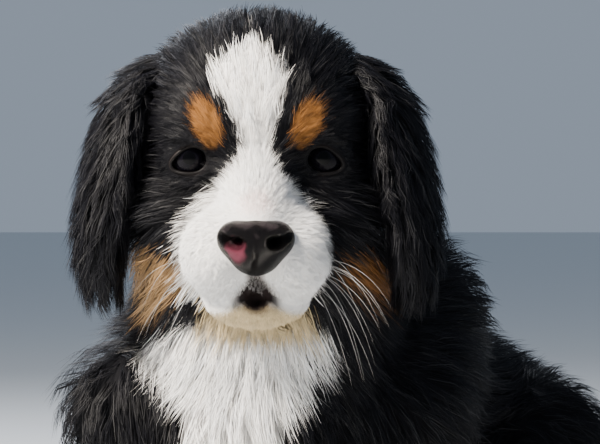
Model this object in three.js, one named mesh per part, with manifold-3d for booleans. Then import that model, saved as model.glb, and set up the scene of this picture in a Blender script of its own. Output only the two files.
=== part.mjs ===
// A Bernese mountain dog puppy of about seven weeks, life size, lying on its chest with its head up.
// Millimetres, +Z up, standing on z = 0. The dog faces -Y and its left side is +X.
// Its body is a set of rounded flesh forms. Each form has the depth of coat that grows on it, so one
// field gives the skin (share 0), the core under the locks (share CORE) and the coat's outline (share 1).
import * as THREE from "three";
import { mergeVertices } from "three/addons/utils/BufferGeometryUtils.js";
import Module from "manifold-3d";

const wasm = await Module();
wasm.setup();

const GAP = 0.3; // clearance between neighbouring pieces
const V = (x, y, z) => new THREE.Vector3(x, y, z);
const UP = V(0, 0, 1);
const LEFT = 1;
const RIGHT = -1;
const SIDE_NAMES = { [LEFT]: "left", [RIGHT]: "right" };

// Driving dimensions
const EYE_HEIGHT = 208;
const FACE_Y = -95; // depth of the line through both eyes
const HEAD_PITCH = THREE.MathUtils.degToRad(6); // the nose dips this much
const HALF_EYE_SPACING = 28.5;
const EYEBALL_RADIUS = 9;
const HIP_YAW = THREE.MathUtils.degToRad(38); // the spine bends, so the hips lie off to the dog's left
const RUMP = V(98, 124, 64);
const HIP_HALF_WIDTH = 44;

// Coat depths
const FACE_COAT = 3.5;
const CROWN_COAT = 7;
const CHEEK_COAT = 9;
const NECK_COAT = 15;
const BODY_COAT = 13;
const THIGH_COAT = 10;
const LEG_COAT = 5;
const PAW_COAT = 3;
const TAIL_COAT = 13;
const SHORT_COAT = 6; // a coat up to this deep is smooth, and a deeper one ends in locks

// Locks of the long coat, and how far apart their roots are
const TRUNK_LOCK = { spacing: 40, length: 66, width: 40, thick: 10 };
const NECK_LOCK = { spacing: 27, length: 50, width: 28, thick: 10 };
const CHEEK_LOCK = { spacing: 24, length: 36, width: 23, thick: 7 };
const THIGH_LOCK = { spacing: 38, length: 52, width: 34, thick: 8 };
const TAIL_LOCK = { spacing: 27, length: 44, width: 24, thick: 10 };
const EAR_LOCK = { length: 40, width: 26, thick: 6 };
const LOCK_FLOOR = 24; // no root is set lower than this

// Grid steps of the surfaces, and how far thinning may move them
const FACE_STEP = 5.2;
const SKULL_STEP = 8;
const BODY_STEP = 16;
const THIGH_STEP = 15;
const LEG_STEP = 9;
const PAW_STEP = 5.6;
const NOSE_STEP = 3;
const FACE_ERROR = 0.28;
const LIMB_ERROR = 0.4;
const CORE_ERROR = 1;
const LOCK_ERROR = 0.95;
const EAR_ERROR = 0.7;
const LAST_ERROR = 0.12;
const LONGEST_EDGE = 40;

// The head's own axes: side to the dog's left, forward out of the nose, up through the crown.
const HEAD_ORIGIN = V(0, FACE_Y, EYE_HEIGHT);
const HEAD_FORWARD = V(0, -Math.cos(HEAD_PITCH), -Math.sin(HEAD_PITCH));
const HEAD_UP = V(0, -Math.sin(HEAD_PITCH), Math.cos(HEAD_PITCH));
const HEAD_SIDE = V(1, 0, 0);

function onHead(side, forward, up) {
  return HEAD_ORIGIN.clone()
    .addScaledVector(HEAD_SIDE, side)
    .addScaledVector(HEAD_FORWARD, forward)
    .addScaledVector(HEAD_UP, up);
}

// The hindquarters' axes: out to the dog's left hip, and back towards the tail.
const HIP_OUT = V(Math.cos(HIP_YAW), -Math.sin(HIP_YAW), 0);
const HIP_BACK = V(Math.sin(HIP_YAW), Math.cos(HIP_YAW), 0);

function onHips(out, back, height) {
  return RUMP.clone()
    .addScaledVector(HIP_OUT, out)
    .addScaledVector(HIP_BACK, back)
    .setZ(height);
}

// Flesh forms. A chain is a row of balls joined by straight tapers, and an egg is an ellipsoid on
// three axes. blend is how softly a form runs into the ones before it.
function chain(coat, blend, balls) {
  return { coat, blend, balls: balls.map(([centre, radius]) => ({ centre, radius })) };
}

const WORLD_AXES = [V(1, 0, 0), V(0, 1, 0), V(0, 0, 1)];
const HEAD_AXES = [HEAD_SIDE, HEAD_FORWARD, HEAD_UP];

function egg(coat, blend, centre, radii, axes = WORLD_AXES) {
  return { coat, blend, centre, radii, axes };
}

const both = (make) => [make(LEFT), make(RIGHT)];

// The spine's row of balls, the belly under it, and the shoulders on its sides.
const TRUNK_FORMS = [
  chain(BODY_COAT, 1, [
    [V(2, -16, 84), 55],
    [V(18, 24, 89), 59],
    [V(42, 58, 87), 58],
    [V(70, 92, 79), 53],
    [RUMP, 50],
  ]),
  chain(BODY_COAT, 20, [
    [V(0, -14, 52), 44],
    [V(18, 28, 50), 48],
    [V(44, 62, 50), 48],
    [V(90, 114, 48), 44],
  ]),
  chain(BODY_COAT, 18, [
    [V(60, -12, 90), 31],
    [V(68, 38, 135), 32],
    [V(40, 44, 128), 34],
  ]),
  chain(BODY_COAT, 18, [
    [V(-55, -28, 94), 29],
    [V(-18, 6, 126), 28],
  ]),
];

const NECK_FORMS = [
  chain(NECK_COAT, 18, [
    [V(6, -12, 118), 52],
    [V(2, -38, 150), 47],
    [V(0, -56, 182), 43],
  ]),
];

// Skull, cheeks, throat, brows, bridge of the nose, flews and chin.
const HEAD_FORMS = [
  egg(CROWN_COAT, 14, onHead(0, -36, 14), [50, 50, 44], HEAD_AXES),
  ...both((s) => egg(CHEEK_COAT, 14, onHead(s * 30, -24, -26), [24, 30, 29], HEAD_AXES)),
  egg(CHEEK_COAT, 14, onHead(0, -20, -42), [36, 38, 24], HEAD_AXES),
  ...both((s) => egg(FACE_COAT, 10, onHead(s * 21, -6, 15), [19, 17, 16], HEAD_AXES)),
  chain(FACE_COAT, 9, [
    [onHead(0, -4, -4), 15],
    [onHead(0, 24, -19), 14],
    [onHead(0, 38, -27), 12],
  ]),
  ...both((s) => egg(FACE_COAT, 8, onHead(s * 14.5, 23, -38), [17, 24, 18], HEAD_AXES)),
  egg(FACE_COAT, 5, onHead(0, 16, -58), [18, 20, 13], HEAD_AXES),
];

const BODY_FORMS = [...TRUNK_FORMS, ...NECK_FORMS, ...HEAD_FORMS];

// Each forearm lies on the floor from its elbow beside the chest to a paw in front. Each thigh lies
// folded on its side of the rump, with its foot forward on the floor.
const FORELEGS = {
  [LEFT]: { elbow: V(66, 6, 22), wrist: V(52, -84, 16), toes: V(47, -122, 10) },
  [RIGHT]: { elbow: V(-62, -24, 22), wrist: V(-52, -100, 16), toes: V(-49, -138, 10) },
};
const HIND_LEGS = Object.fromEntries(
  both((s) => [
    s,
    {
      hip: onHips(s * HIP_HALF_WIDTH, -4, 66),
      knee: onHips(s * (HIP_HALF_WIDTH + 14), -48, 46),
      hock: onHips(s * (HIP_HALF_WIDTH + 16), 4, 17),
      toes: onHips(s * (HIP_HALF_WIDTH + 26), -66, 10),
    },
  ]),
);
const TAIL_POINTS = [onHips(0, 44, 44), onHips(4, 74, 27), onHips(16, 104, 22), onHips(40, 126, 17)];
const TAIL_RADII = [13, 11, 9, 4];

// A paw: a palm, and four toes that fan out from it towards the front.
const TOE_SPREADS = [-12.5, -4.3, 4.3, 12.5];
const TOE_RADIUS = 6.9;
const PALM_BACK = 22;

function pawForms(from, toes) {
  const forward = toes.clone().sub(from).setZ(0).normalize();
  const across = forward.clone().cross(UP);
  const palm = toes.clone().addScaledVector(forward, -PALM_BACK).setZ(12);
  const toeForms = TOE_SPREADS.map((spread) => {
    const middle = Math.abs(spread) < 8 ? 1 : 0;
    const tip = toes.clone().addScaledVector(across, spread).addScaledVector(forward, 5 * middle - 3).setZ(8);
    const knuckle = tip.clone().addScaledVector(forward, -11).setZ(12.5);
    return chain(PAW_COAT, 2.5, [
      [palm.clone().addScaledVector(across, spread * 0.7), TOE_RADIUS],
      [knuckle, TOE_RADIUS],
      [tip, TOE_RADIUS - 0.6],
    ]);
  });
  return [chain(PAW_COAT, 6, [[from, 12], [palm, 12.5]]), ...toeForms];
}

function forelegForms({ elbow, wrist, toes }) {
  const middle = elbow.clone().lerp(wrist, 0.5);
  return [chain(LEG_COAT, 6, [[elbow, 21], [middle, 17.5], [wrist, 13]]), ...pawForms(wrist, toes)];
}

function thighForms({ hip, knee, hock }) {
  const middle = hip.clone().lerp(knee, 0.45);
  return [
    chain(THIGH_COAT, 6, [[hip, 36], [middle, 34], [knee, 25]]),
    chain(LEG_COAT, 14, [[knee, 20], [hock, 13]]),
  ];
}

function footForms({ hock, toes }) {
  return pawForms(hock, toes);
}

// The nose leather: a broad pad with a wing on each side, and a nostril that curls up each wing.
const NOSE_FORMS = [
  egg(0, 4, onHead(0, 46, -32.5), [10.2, 10.5, 12.3], HEAD_AXES),
  ...both((s) => egg(0, 4, onHead(s * 9, 45, -28.5), [7.4, 9.5, 8.2], HEAD_AXES)),
];
const NOSTRILS = both((s) => [
  egg(0, 2, onHead(s * 7.8, 56, -30), [2.9, 7, 2.7], HEAD_AXES),
  chain(0, 2, [[onHead(s * 10, 54, -30), 2], [onHead(s * 16, 49, -26.5), 1.3]]),
]).flat();

// The ears: leather flaps that start on the crown, turn over and hang beside the cheeks, with their
// front edges in towards the face. Each row is a place on the head with the flap's half width and
// half thickness there, hair included.
const EAR_TURN = THREE.MathUtils.degToRad(24);
const EAR_STATIONS = [
  { out: 43, forward: -32, up: 35, half: 17, thick: 6 },
  { out: 52, forward: -32, up: 31.5, half: 23, thick: 8.5 },
  { out: 60, forward: -31, up: 22, half: 27, thick: 10.5 },
  { out: 64.5, forward: -29, up: 8, half: 29, thick: 11.5 },
  { out: 66, forward: -27, up: -6, half: 29, thick: 11.5 },
  { out: 67, forward: -25, up: -25, half: 26, thick: 11 },
  { out: 66.5, forward: -23, up: -42, half: 20, thick: 9.5 },
  { out: 65.5, forward: -21, up: -56, half: 12, thick: 7 },
];
const EAR_ROOT = { out: 34, forward: -32, up: 38 };
const EAR_TIP = { out: 64, forward: -19, up: -66 };
const INNER_SHARE = 1.45; // the flap is this much thicker towards the head, which its hair fills out to
const EAR_SIDES = 14;
const EAR_CUP = 5; // how far the middle of a section stands out from its edges
const LEATHER = 0.55; // share of the outer thickness that the ear's core has, under its locks

// The rim of the lids, the parting of the lips and the groove from the nose down to them.
const LID = { across: 7.4, high: 5.7, radius: 1.7, front: 7 };
const MOUTH_POINTS = [
  { out: 0, forward: 47, up: -54 },
  { out: 11, forward: 45, up: -60 },
  { out: 22, forward: 32, up: -60 },
  { out: 30, forward: 14, up: -54 },
];
const LIP_GROOVE = 1.5;

function ballChainDistance(balls, p, extra) {
  if (balls.length === 1) return p.distanceTo(balls[0].centre) - balls[0].radius - extra;
  let nearest = Infinity;
  for (let i = 0; i + 1 < balls.length; i++) {
    const a = balls[i];
    const b = balls[i + 1];
    const along = b.centre.clone().sub(a.centre);
    const offset = p.clone().sub(a.centre);
    const t = THREE.MathUtils.clamp(offset.dot(along) / along.lengthSq(), 0, 1);
    const radius = THREE.MathUtils.lerp(a.radius, b.radius, t);
    nearest = Math.min(nearest, offset.addScaledVector(along, -t).length() - radius - extra);
  }
  return nearest;
}

function eggDistance(form, p, extra) {
  const offset = p.clone().sub(form.centre);
  let scaled = 0;
  let steep = 0;
  for (let i = 0; i < 3; i++) {
    const r = form.radii[i] + extra;
    const q = offset.dot(form.axes[i]) / r;
    scaled += q * q;
    steep += (q / r) * (q / r);
  }
  const k = Math.sqrt(scaled);
  if (k < 1e-6) return -Math.min(...form.radii) - extra;
  return (k * (k - 1)) / Math.sqrt(steep);
}

function smoothMin(a, b, k) {
  const h = Math.max(k - Math.abs(a - b), 0) / k;
  return Math.min(a, b) - (h * h * k) / 4;
}

// The coat's outline, and the core that the locks of a long coat stand on.
const OUTLINE = () => 1;
const CORE = (coat) => (coat > SHORT_COAT ? 0.5 : 1);

// Distance from p to the forms' joint surface, with that share of their coat on them.
function fieldOf(forms, share = OUTLINE) {
  return (p) => {
    let joined = Infinity;
    for (const form of forms) {
      const extra = share(form.coat) * form.coat;
      const d = form.balls ? ballChainDistance(form.balls, p, extra) : eggDistance(form, p, extra);
      joined = joined === Infinity ? d : smoothMin(joined, d, form.blend);
    }
    return joined;
  };
}

// Closed surface through rings of points. Each end closes on its tip.
function loft(rings, startTip, endTip) {
  const sides = rings[0].length;
  const points = [...rings.flat(), startTip, endTip];
  const start = points.length - 2;
  const end = points.length - 1;
  const last = (rings.length - 1) * sides;
  const triangles = [];
  for (let i = 0; i < sides; i++) {
    const next = (i + 1) % sides;
    triangles.push(start, next, i, end, last + i, last + next);
    for (let r = 0; r < last; r += sides) {
      triangles.push(r + i, r + next, r + sides + next);
      triangles.push(r + i, r + sides + next, r + sides + i);
    }
  }
  let sixVolumes = 0;
  for (let i = 0; i < triangles.length; i += 3) {
    const [a, b, c] = [points[triangles[i]], points[triangles[i + 1]], points[triangles[i + 2]]];
    sixVolumes += a.dot(b.clone().cross(c));
  }
  if (sixVolumes < 0) triangles.reverse();
  const positions = new Float32Array(points.flatMap((p) => [p.x, p.y, p.z]));
  return new THREE.BufferGeometry()
    .setAttribute("position", new THREE.BufferAttribute(positions, 3))
    .setIndex(triangles);
}

function solidOf(geometry) {
  const bare = geometry.clone();
  bare.deleteAttribute("normal");
  bare.deleteAttribute("uv");
  const merged = mergeVertices(bare, 1e-4);
  return new wasm.Manifold(
    new wasm.Mesh({
      numProp: 3,
      vertProperties: merged.attributes.position.array,
      triVerts: new Uint32Array(merged.index.array),
    }),
  );
}

// A solid's surface with fewer points. Edges are drawn together, shortest error first, while no point
// strays past maxError from the planes that met there, no face turns over and the surface stays closed.
const LEAST_TURN = 0.5; // cosine of the most that a face may tilt
const LEAST_SPACE = 0.003; // points nearer than this are moved apart

function planeForm(a, b, c) {
  const normal = b.clone().sub(a).cross(c.clone().sub(a));
  if (normal.length() < 1e-7) return [0, 0, 0, 0];
  normal.normalize();
  return [normal.x, normal.y, normal.z, -normal.dot(a)];
}

function thinned(solid, maxError, longest) {
  const { vertProperties, triVerts } = solid.getMesh();
  const points = [];
  for (let i = 0; i < vertProperties.length; i += 3) points.push(V(...vertProperties.subarray(i, i + 3)));
  const faces = [];
  for (let i = 0; i < triVerts.length; i += 3) faces.push([...triVerts.subarray(i, i + 3)]);
  const facesAt = points.map(() => new Set());
  const forms = points.map(() => []);
  faces.forEach((face, f) => {
    const form = planeForm(...face.map((v) => points[v]));
    for (const v of face) {
      facesAt[v].add(f);
      forms[v].push(form);
    }
  });
  const neighbours = (v) => {
    const found = new Set();
    for (const f of facesAt[v]) for (const w of faces[f]) if (w !== v) found.add(w);
    return found;
  };
  const strays = (p, rows) => {
    let worst = 0;
    for (const [x, y, z, d] of rows) worst = Math.max(worst, Math.abs(p.x * x + p.y * y + p.z * z + d));
    return worst;
  };
  const turnsOver = (v, other, p) => {
    for (const f of facesAt[v]) {
      if (faces[f].includes(other)) continue;
      const before = faces[f].map((w) => points[w]);
      const after = faces[f].map((w) => (w === v ? p : points[w]));
      const [m, n] = [before, after].map(([a, b, c]) => b.clone().sub(a).cross(c.clone().sub(a)));
      const sides = [0, 1, 2].map((i) => after[i].distanceTo(after[(i + 1) % 3]));
      if (n.length() < 0.12 * Math.max(...sides) ** 2 * (m.length() < 0.5 ? 0.05 : 1)) {
        if (n.length() < m.length()) return true;
      }
      if (m.length() > 1e-5 && n.dot(m) < LEAST_TURN * n.length() * m.length()) return true;
    }
    return false;
  };

  let joined = true;
  while (joined) {
    joined = false;
    const edges = [];
    points.forEach((p, v) => {
      for (const w of neighbours(v)) {
        if (w < v || p.distanceTo(points[w]) > longest) continue;
        const rows = [...forms[v], ...forms[w]];
        const middle = p.clone().lerp(points[w], 0.5);
        for (const place of [middle, p, points[w]]) {
          const error = strays(place, rows);
          if (error < maxError) edges.push({ v, w, place: place.clone(), error });
        }
      }
    });
    edges.sort((a, b) => a.error - b.error);
    const moved = new Set();
    for (const { v, w, place } of edges) {
      if (moved.has(v) || moved.has(w)) continue;
      const around = neighbours(v);
      const shared = [...neighbours(w)].filter((u) => around.has(u));
      if (shared.length !== 2 || turnsOver(v, w, place) || turnsOver(w, v, place)) continue;
      for (const u of [v, w, ...around, ...neighbours(w)]) moved.add(u);
      points[v] = place;
      for (const f of [...facesAt[w]]) {
        if (faces[f].includes(v)) {
          for (const u of faces[f]) facesAt[u].delete(f);
          faces[f] = null;
        } else {
          faces[f] = faces[f].map((u) => (u === w ? v : u));
          facesAt[v].add(f);
        }
      }
      facesAt[w].clear();
      forms[v].push(...forms[w]);
      joined = true;
    }
  }
  const left = [...new Set(faces.filter(Boolean).flat())];
  left.forEach((v, n) => {
    for (const w of left.slice(0, n)) {
      if (points[v].distanceToSquared(points[w]) > LEAST_SPACE ** 2) continue;
      const [f] = facesAt[v];
      const [x, y, z] = planeForm(...faces[f].map((u) => points[u]));
      points[v] = points[v].clone().addScaledVector(V(x, y, z).length() ? V(x, y, z) : UP, 4 * LEAST_SPACE);
    }
  });
  const positions = faces.filter(Boolean).flatMap((face) => face.flatMap((v) => points[v].toArray()));
  const loose = new THREE.BufferGeometry();
  loose.setAttribute("position", new THREE.BufferAttribute(new Float32Array(positions), 3));
  return mergeVertices(loose, 1e-6);
}

// Closed surface of a field on a grid of uneven lines: one point in each cell that the surface
// crosses, set on the surface, and one quad round each grid edge that it crosses.
const SETTLE_STEPS = 4;

function gradientAt(field, p) {
  const e = 0.5;
  const slope = (axis) => field(p.clone().addScaledVector(axis, e)) - field(p.clone().addScaledVector(axis, -e));
  return V(...WORLD_AXES.map((axis) => slope(axis) / (2 * e)));
}

function settle(field, p) {
  for (let i = 0; i < SETTLE_STEPS; i++) {
    const slope = gradientAt(field, p);
    p.addScaledVector(slope, -field(p) / Math.max(slope.lengthSq(), 0.25));
  }
  return p;
}

// Grid lines from low to past high, step apart. step is a length, or a function of the place.
function gridLines(low, high, step) {
  const stepAt = typeof step === "function" ? step : () => step;
  const lines = [low - 1.37 * stepAt(low)];
  while (lines.at(-1) < high + stepAt(high)) lines.push(lines.at(-1) + stepAt(lines.at(-1)));
  return lines;
}

function surfaceOf(field, box, step) {
  const steps = Array.isArray(step) ? step : [step, step, step];
  const lines = ["x", "y", "z"].map((axis, n) => gridLines(box.min[axis], box.max[axis], steps[n]));
  const [nx, ny, nz] = lines.map((row) => row.length);
  const cornerIndex = (i, j, k) => (k * ny + j) * nx + i;
  const values = new Float64Array(nx * ny * nz);
  const corner = (i, j, k) => V(lines[0][i], lines[1][j], lines[2][k]);
  for (let k = 0; k < nz; k++) {
    for (let j = 0; j < ny; j++) {
      for (let i = 0; i < nx; i++) values[cornerIndex(i, j, k)] = field(corner(i, j, k)) || 1e-9;
    }
  }

  const points = [];
  const cellPoint = new Map();
  const cornerOffsets = [0, 1, 2, 3, 4, 5, 6, 7].map((n) => [n & 1, (n >> 1) & 1, n >> 2]);
  const cellEdges = [];
  cornerOffsets.forEach((a, m) => {
    for (const bit of [1, 2, 4]) if (!(m & bit)) cellEdges.push([m, m | bit]);
  });
  for (let k = 0; k + 1 < nz; k++) {
    for (let j = 0; j + 1 < ny; j++) {
      for (let i = 0; i + 1 < nx; i++) {
        const at = cornerOffsets.map(([a, b, c]) => values[cornerIndex(i + a, j + b, k + c)]);
        const middle = V(0, 0, 0);
        let crossings = 0;
        for (const [m, n] of cellEdges) {
          if (at[m] < 0 === at[n] < 0) continue;
          const t = at[m] / (at[m] - at[n]);
          middle.add(V(...cornerOffsets[m]).lerp(V(...cornerOffsets[n]), t));
          crossings++;
        }
        if (!crossings) continue;
        cellPoint.set(cornerIndex(i, j, k), points.length);
        const cell = corner(i + 1, j + 1, k + 1).sub(corner(i, j, k));
        const start = middle.divideScalar(crossings).multiply(cell).add(corner(i, j, k));
        const settled = settle(field, start.clone());
        points.push(settled.distanceTo(start) < 0.35 * cell.length() ? settled : start);
      }
    }
  }

  const triangles = [];
  const quad = (a, b, c, d, flip) => {
    const [p, q, r, s] = flip ? [a, d, c, b] : [a, b, c, d];
    const shorter = points[p].distanceTo(points[r]) < points[q].distanceTo(points[s]);
    triangles.push(...(shorter ? [p, q, r, p, r, s] : [p, q, s, q, r, s]));
  };
  for (let k = 1; k + 1 < nz; k++) {
    for (let j = 1; j + 1 < ny; j++) {
      for (let i = 1; i + 1 < nx; i++) {
        const here = values[cornerIndex(i, j, k)] < 0;
        const cell = (a, b, c) => cellPoint.get(cornerIndex(i - a, j - b, k - c));
        if (here !== values[cornerIndex(i + 1, j, k)] < 0) {
          quad(cell(0, 1, 1), cell(0, 0, 1), cell(0, 0, 0), cell(0, 1, 0), !here);
        }
        if (here !== values[cornerIndex(i, j + 1, k)] < 0) {
          quad(cell(1, 0, 1), cell(1, 0, 0), cell(0, 0, 0), cell(0, 0, 1), !here);
        }
        if (here !== values[cornerIndex(i, j, k + 1)] < 0) {
          quad(cell(1, 1, 0), cell(0, 1, 0), cell(0, 0, 0), cell(1, 0, 0), !here);
        }
      }
    }
  }
  const positions = new Float32Array(points.flatMap((p) => p.toArray()));
  return new THREE.BufferGeometry()
    .setAttribute("position", new THREE.BufferAttribute(positions, 3))
    .setIndex(triangles);
}

// The box that holds some forms with all their coat.
function boxOf(forms) {
  const box = new THREE.Box3();
  for (const { coat, balls, centre, radii } of forms) {
    const spheres = balls ?? [{ centre, radius: Math.max(...radii) }];
    for (const ball of spheres) {
      const reach = ball.radius + coat;
      box.union(new THREE.Box3().setFromCenterAndSize(ball.centre, V(1, 1, 1).multiplyScalar(2 * reach)));
    }
  }
  return box;
}

// The same surface with every point moved out along its normal.
function grown(geometry, by) {
  const copy = geometry.clone();
  copy.computeVertexNormals();
  const { position, normal } = copy.attributes;
  for (let i = 0; i < position.count; i++) {
    position.setXYZ(
      i,
      position.getX(i) + by * normal.getX(i),
      position.getY(i) + by * normal.getY(i),
      position.getZ(i) + by * normal.getZ(i),
    );
  }
  return copy;
}

function carved(field, cutForms) {
  const cut = fieldOf(cutForms);
  return (p) => Math.max(field(p), -cut(p));
}

// A division between two pieces: the plane's point, and its normal into the first of them.
const division = (point, normal) => ({ point, normal: normal.clone().normalize() });
const HEAD_FROM_NECK = division(V(0, -52, 168), V(0, -0.67, 0.74));
const NECK_FROM_TRUNK = division(V(8, 8, 152), V(-0.05, -0.5, 0.86));
const CHEST_FROM_LOIN = division(V(46, 66, 84), V(-0.6, -0.8, 0));
const FLOOR = division(V(0, 0, 0), UP);
const HUGE = 900;

// The part of a solid on the stated side of each division, clear of it by half the gap.
function trim(solid, limits) {
  let kept = solid;
  for (const [plane, sense] of limits) {
    const inset = plane === FLOOR ? 0 : GAP / 2;
    const keep = plane.normal.clone().multiplyScalar(sense);
    const block = new THREE.BoxGeometry(HUGE, HUGE, HUGE);
    block.applyQuaternion(new THREE.Quaternion().setFromUnitVectors(UP, keep));
    const centre = plane.point.clone().addScaledVector(keep, HUGE / 2 + inset);
    kept = kept.intersect(solidOf(block.translate(centre.x, centre.y, centre.z)));
  }
  return kept;
}

// The field limited to one side of each division, with some to spare for the cut.
function within(field, limits, spare) {
  return (p) => {
    let limited = field(p);
    for (const [plane, sense] of limits) {
      limited = Math.max(limited, -sense * p.clone().sub(plane.point).dot(plane.normal) - spare);
    }
    return limited;
  };
}

function largest(solid) {
  return solid.decompose().sort((a, b) => b.volume() - a.volume())[0];
}

// Thinned surface of some forms with a share of their coat.
function formSurface(forms, share, step, error, limits = [], spare = 0, joined = forms) {
  const surface = surfaceOf(within(fieldOf(joined, share), limits, spare), boxOf(forms), step);
  return thinned(solidOf(surface), error, LONGEST_EDGE);
}

// Solids joined in one, thinned by up to that error, and closed hollows among the locks filled.
function joinAll(solids, error = 0) {
  const joined = wasm.Manifold.union(solids);
  return error ? solidOf(thinned(largest(joined), error, LONGEST_EDGE)) : joined;
}

const floorOnly = [[FLOOR, 1]];
const CUT_SPARE = 16;
const HIP_CORE = 24; // the thighs end this far from the middle of the rump
const GROWTH = GAP * 1.3; // a grown facet's corners move this far, so that its middle clears the gap

// Locks: flat tapered tufts of long coat. A lock starts inside the core, rises to the coat's outline
// along its lie, bends a little to one side and ends in a point just proud of the outline.
let seed = 20251;
function random(low = 0, high = 1) {
  seed = (seed * 1664525 + 1013904223) % 4294967296;
  return low + (seed / 4294967296) * (high - low);
}

const LOCK_STATIONS = [
  { along: 0, width: 0.75, sink: 1.5 },
  { along: 0.4, width: 1, sink: 0.5 },
  { along: 0.75, width: 0.66, sink: 0.3 },
];
const LOCK_PROUD = 0.12; // how far the tip stands out, as a share of its thickness

// Moves p along the field's slope until it lies at that depth under the surface.
function atDepth(field, p, depth) {
  const q = p.clone();
  for (let i = 0; i < 3; i++) {
    const slope = gradientAt(field, q);
    q.addScaledVector(slope, -(field(q) + depth) / Math.max(slope.lengthSq(), 0.25));
  }
  return q;
}

function lockSolid(outline, root, lie, { length, width, thick, bend = 0.2 }) {
  const outward = gradientAt(outline, root).normalize();
  const flow = lie.clone().addScaledVector(outward, -lie.dot(outward)).normalize();
  const aside = outward.clone().cross(flow).multiplyScalar(random(-bend, bend) * length);
  const place = (t) => root.clone().addScaledVector(flow, length * t).addScaledVector(aside, t * t);
  const rings = LOCK_STATIONS.map(({ along, width: share, sink }) => {
    const centre = atDepth(outline, place(along), sink * thick);
    const up = gradientAt(outline, centre).normalize();
    const heading = place(along + 0.1).sub(place(along));
    const across = up.clone().cross(heading).normalize();
    return [
      centre.clone().addScaledVector(across, 0.5 * width * share),
      centre.clone().addScaledVector(up, 0.5 * thick),
      centre.clone().addScaledVector(across, -0.5 * width * share),
      centre.clone().addScaledVector(up, -0.75 * thick),
    ];
  });
  const tip = atDepth(outline, place(1), -LOCK_PROUD * thick);
  const heart = rings[0].reduce((sum, corner) => sum.add(corner), V(0, 0, 0)).multiplyScalar(0.25);
  return solidOf(loft(rings, heart.addScaledVector(flow, -1), tip));
}

// Roots for locks, spread over a surface no nearer to each other than the spacing.
function spreadRoots(geometry, spacing, allowed) {
  const { position } = geometry.attributes;
  const corners = [...geometry.index.array].map((v) => V(0, 0, 0).fromBufferAttribute(position, v));
  const faces = [];
  let total = 0;
  for (let i = 0; i < corners.length; i += 3) {
    const face = new THREE.Triangle(corners[i], corners[i + 1], corners[i + 2]);
    total += face.getArea();
    faces.push({ face, upTo: total });
  }
  const roots = [];
  const tries = Math.ceil((12 * total) / (spacing * spacing));
  for (let i = 0; i < tries; i++) {
    const pick = random(0, total);
    const { face } = faces.find(({ upTo }) => upTo >= pick);
    const [u, v] = [random(), random()];
    const [share, other] = u + v > 1 ? [1 - u, 1 - v] : [u, v];
    const root = face.a.clone()
      .addScaledVector(face.b.clone().sub(face.a), share)
      .addScaledVector(face.c.clone().sub(face.a), other);
    if (allowed(root) && roots.every((found) => found.distanceTo(root) > spacing)) roots.push(root);
  }
  return roots;
}

const pieces = new Map();

// Head, neck, chest and loin: one core, parted by the divisions once its locks are on.
const headLimits = [[HEAD_FROM_NECK, 1]];
const neckLimits = [[HEAD_FROM_NECK, -1], [NECK_FROM_TRUNK, 1]];
const chestLimits = [[NECK_FROM_TRUNK, -1], [CHEST_FROM_LOIN, 1], [FLOOR, 1]];
const loinLimits = [[NECK_FROM_TRUNK, -1], [CHEST_FROM_LOIN, -1], [FLOOR, 1]];

const trunkCore = formSurface(
  [...TRUNK_FORMS, ...NECK_FORMS], CORE, BODY_STEP, CORE_ERROR, [[HEAD_FROM_NECK, -1]], CUT_SPARE, BODY_FORMS,
);
const headSteps = [
  (x) => (Math.abs(x) < 48 ? FACE_STEP : SKULL_STEP),
  (y) => (y < FACE_Y + 8 ? FACE_STEP : SKULL_STEP),
  (z) => (z < EYE_HEIGHT + 14 ? FACE_STEP : SKULL_STEP),
];
const headCore = formSurface(
  [...HEAD_FORMS, ...NECK_FORMS], CORE, headSteps, FACE_ERROR, headLimits, CUT_SPARE, BODY_FORMS,
);

// The coat lies back along the trunk and down its sides, and straight down the throat and chest.
const outline = fieldOf(BODY_FORMS);
const onTrunk = (p) => p.clone().sub(V(10, 0, 0)).dot(V(0.45, 0.9, 0)); // how far back on the trunk
function trunkLie(p) {
  const back = THREE.MathUtils.smoothstep(onTrunk(p), -45, 40);
  return V(0.15, 0, -1).lerp(V(0.5, 0.75, -0.35), back);
}

const isNeck = (p) => p.z > 118 && onTrunk(p) < 25;
const trunkLocks = spreadRoots(trunkCore, TRUNK_LOCK.spacing, (p) => p.z > LOCK_FLOOR && !isNeck(p))
  .map((root) => lockSolid(outline, root, trunkLie(root), TRUNK_LOCK));
const neckLocks = spreadRoots(trunkCore, NECK_LOCK.spacing, (p) => isNeck(p) && p.z < 215)
  .map((root) => lockSolid(outline, root, trunkLie(root), NECK_LOCK));

// The cheeks' ruff and the back of the skull: the coat runs back and down from the face.
const headPlace = (p) => {
  const offset = p.clone().sub(HEAD_ORIGIN);
  return V(offset.dot(HEAD_SIDE), offset.dot(HEAD_FORWARD), offset.dot(HEAD_UP));
};
const headLie = (p) => {
  const place = headPlace(p);
  const down = place.y > -30 ? 0.9 : 0.6;
  return V(Math.sign(place.x) * 0.25, 0.75, -down);
};
const isRuff = (p) => {
  const place = headPlace(p);
  return place.y < (place.z < -10 ? -12 : -30) && place.z < 52;
};
const ruffLocks = spreadRoots(headCore, CHEEK_LOCK.spacing, isRuff)
  .map((root) => lockSolid(outline, root, headLie(root), CHEEK_LOCK));

// Limbs. A long-coated limb's locks stay inside the outline of its own forms, and the body is cut
// back from that outline by the gap.
const fromTrunk = [];

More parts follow.
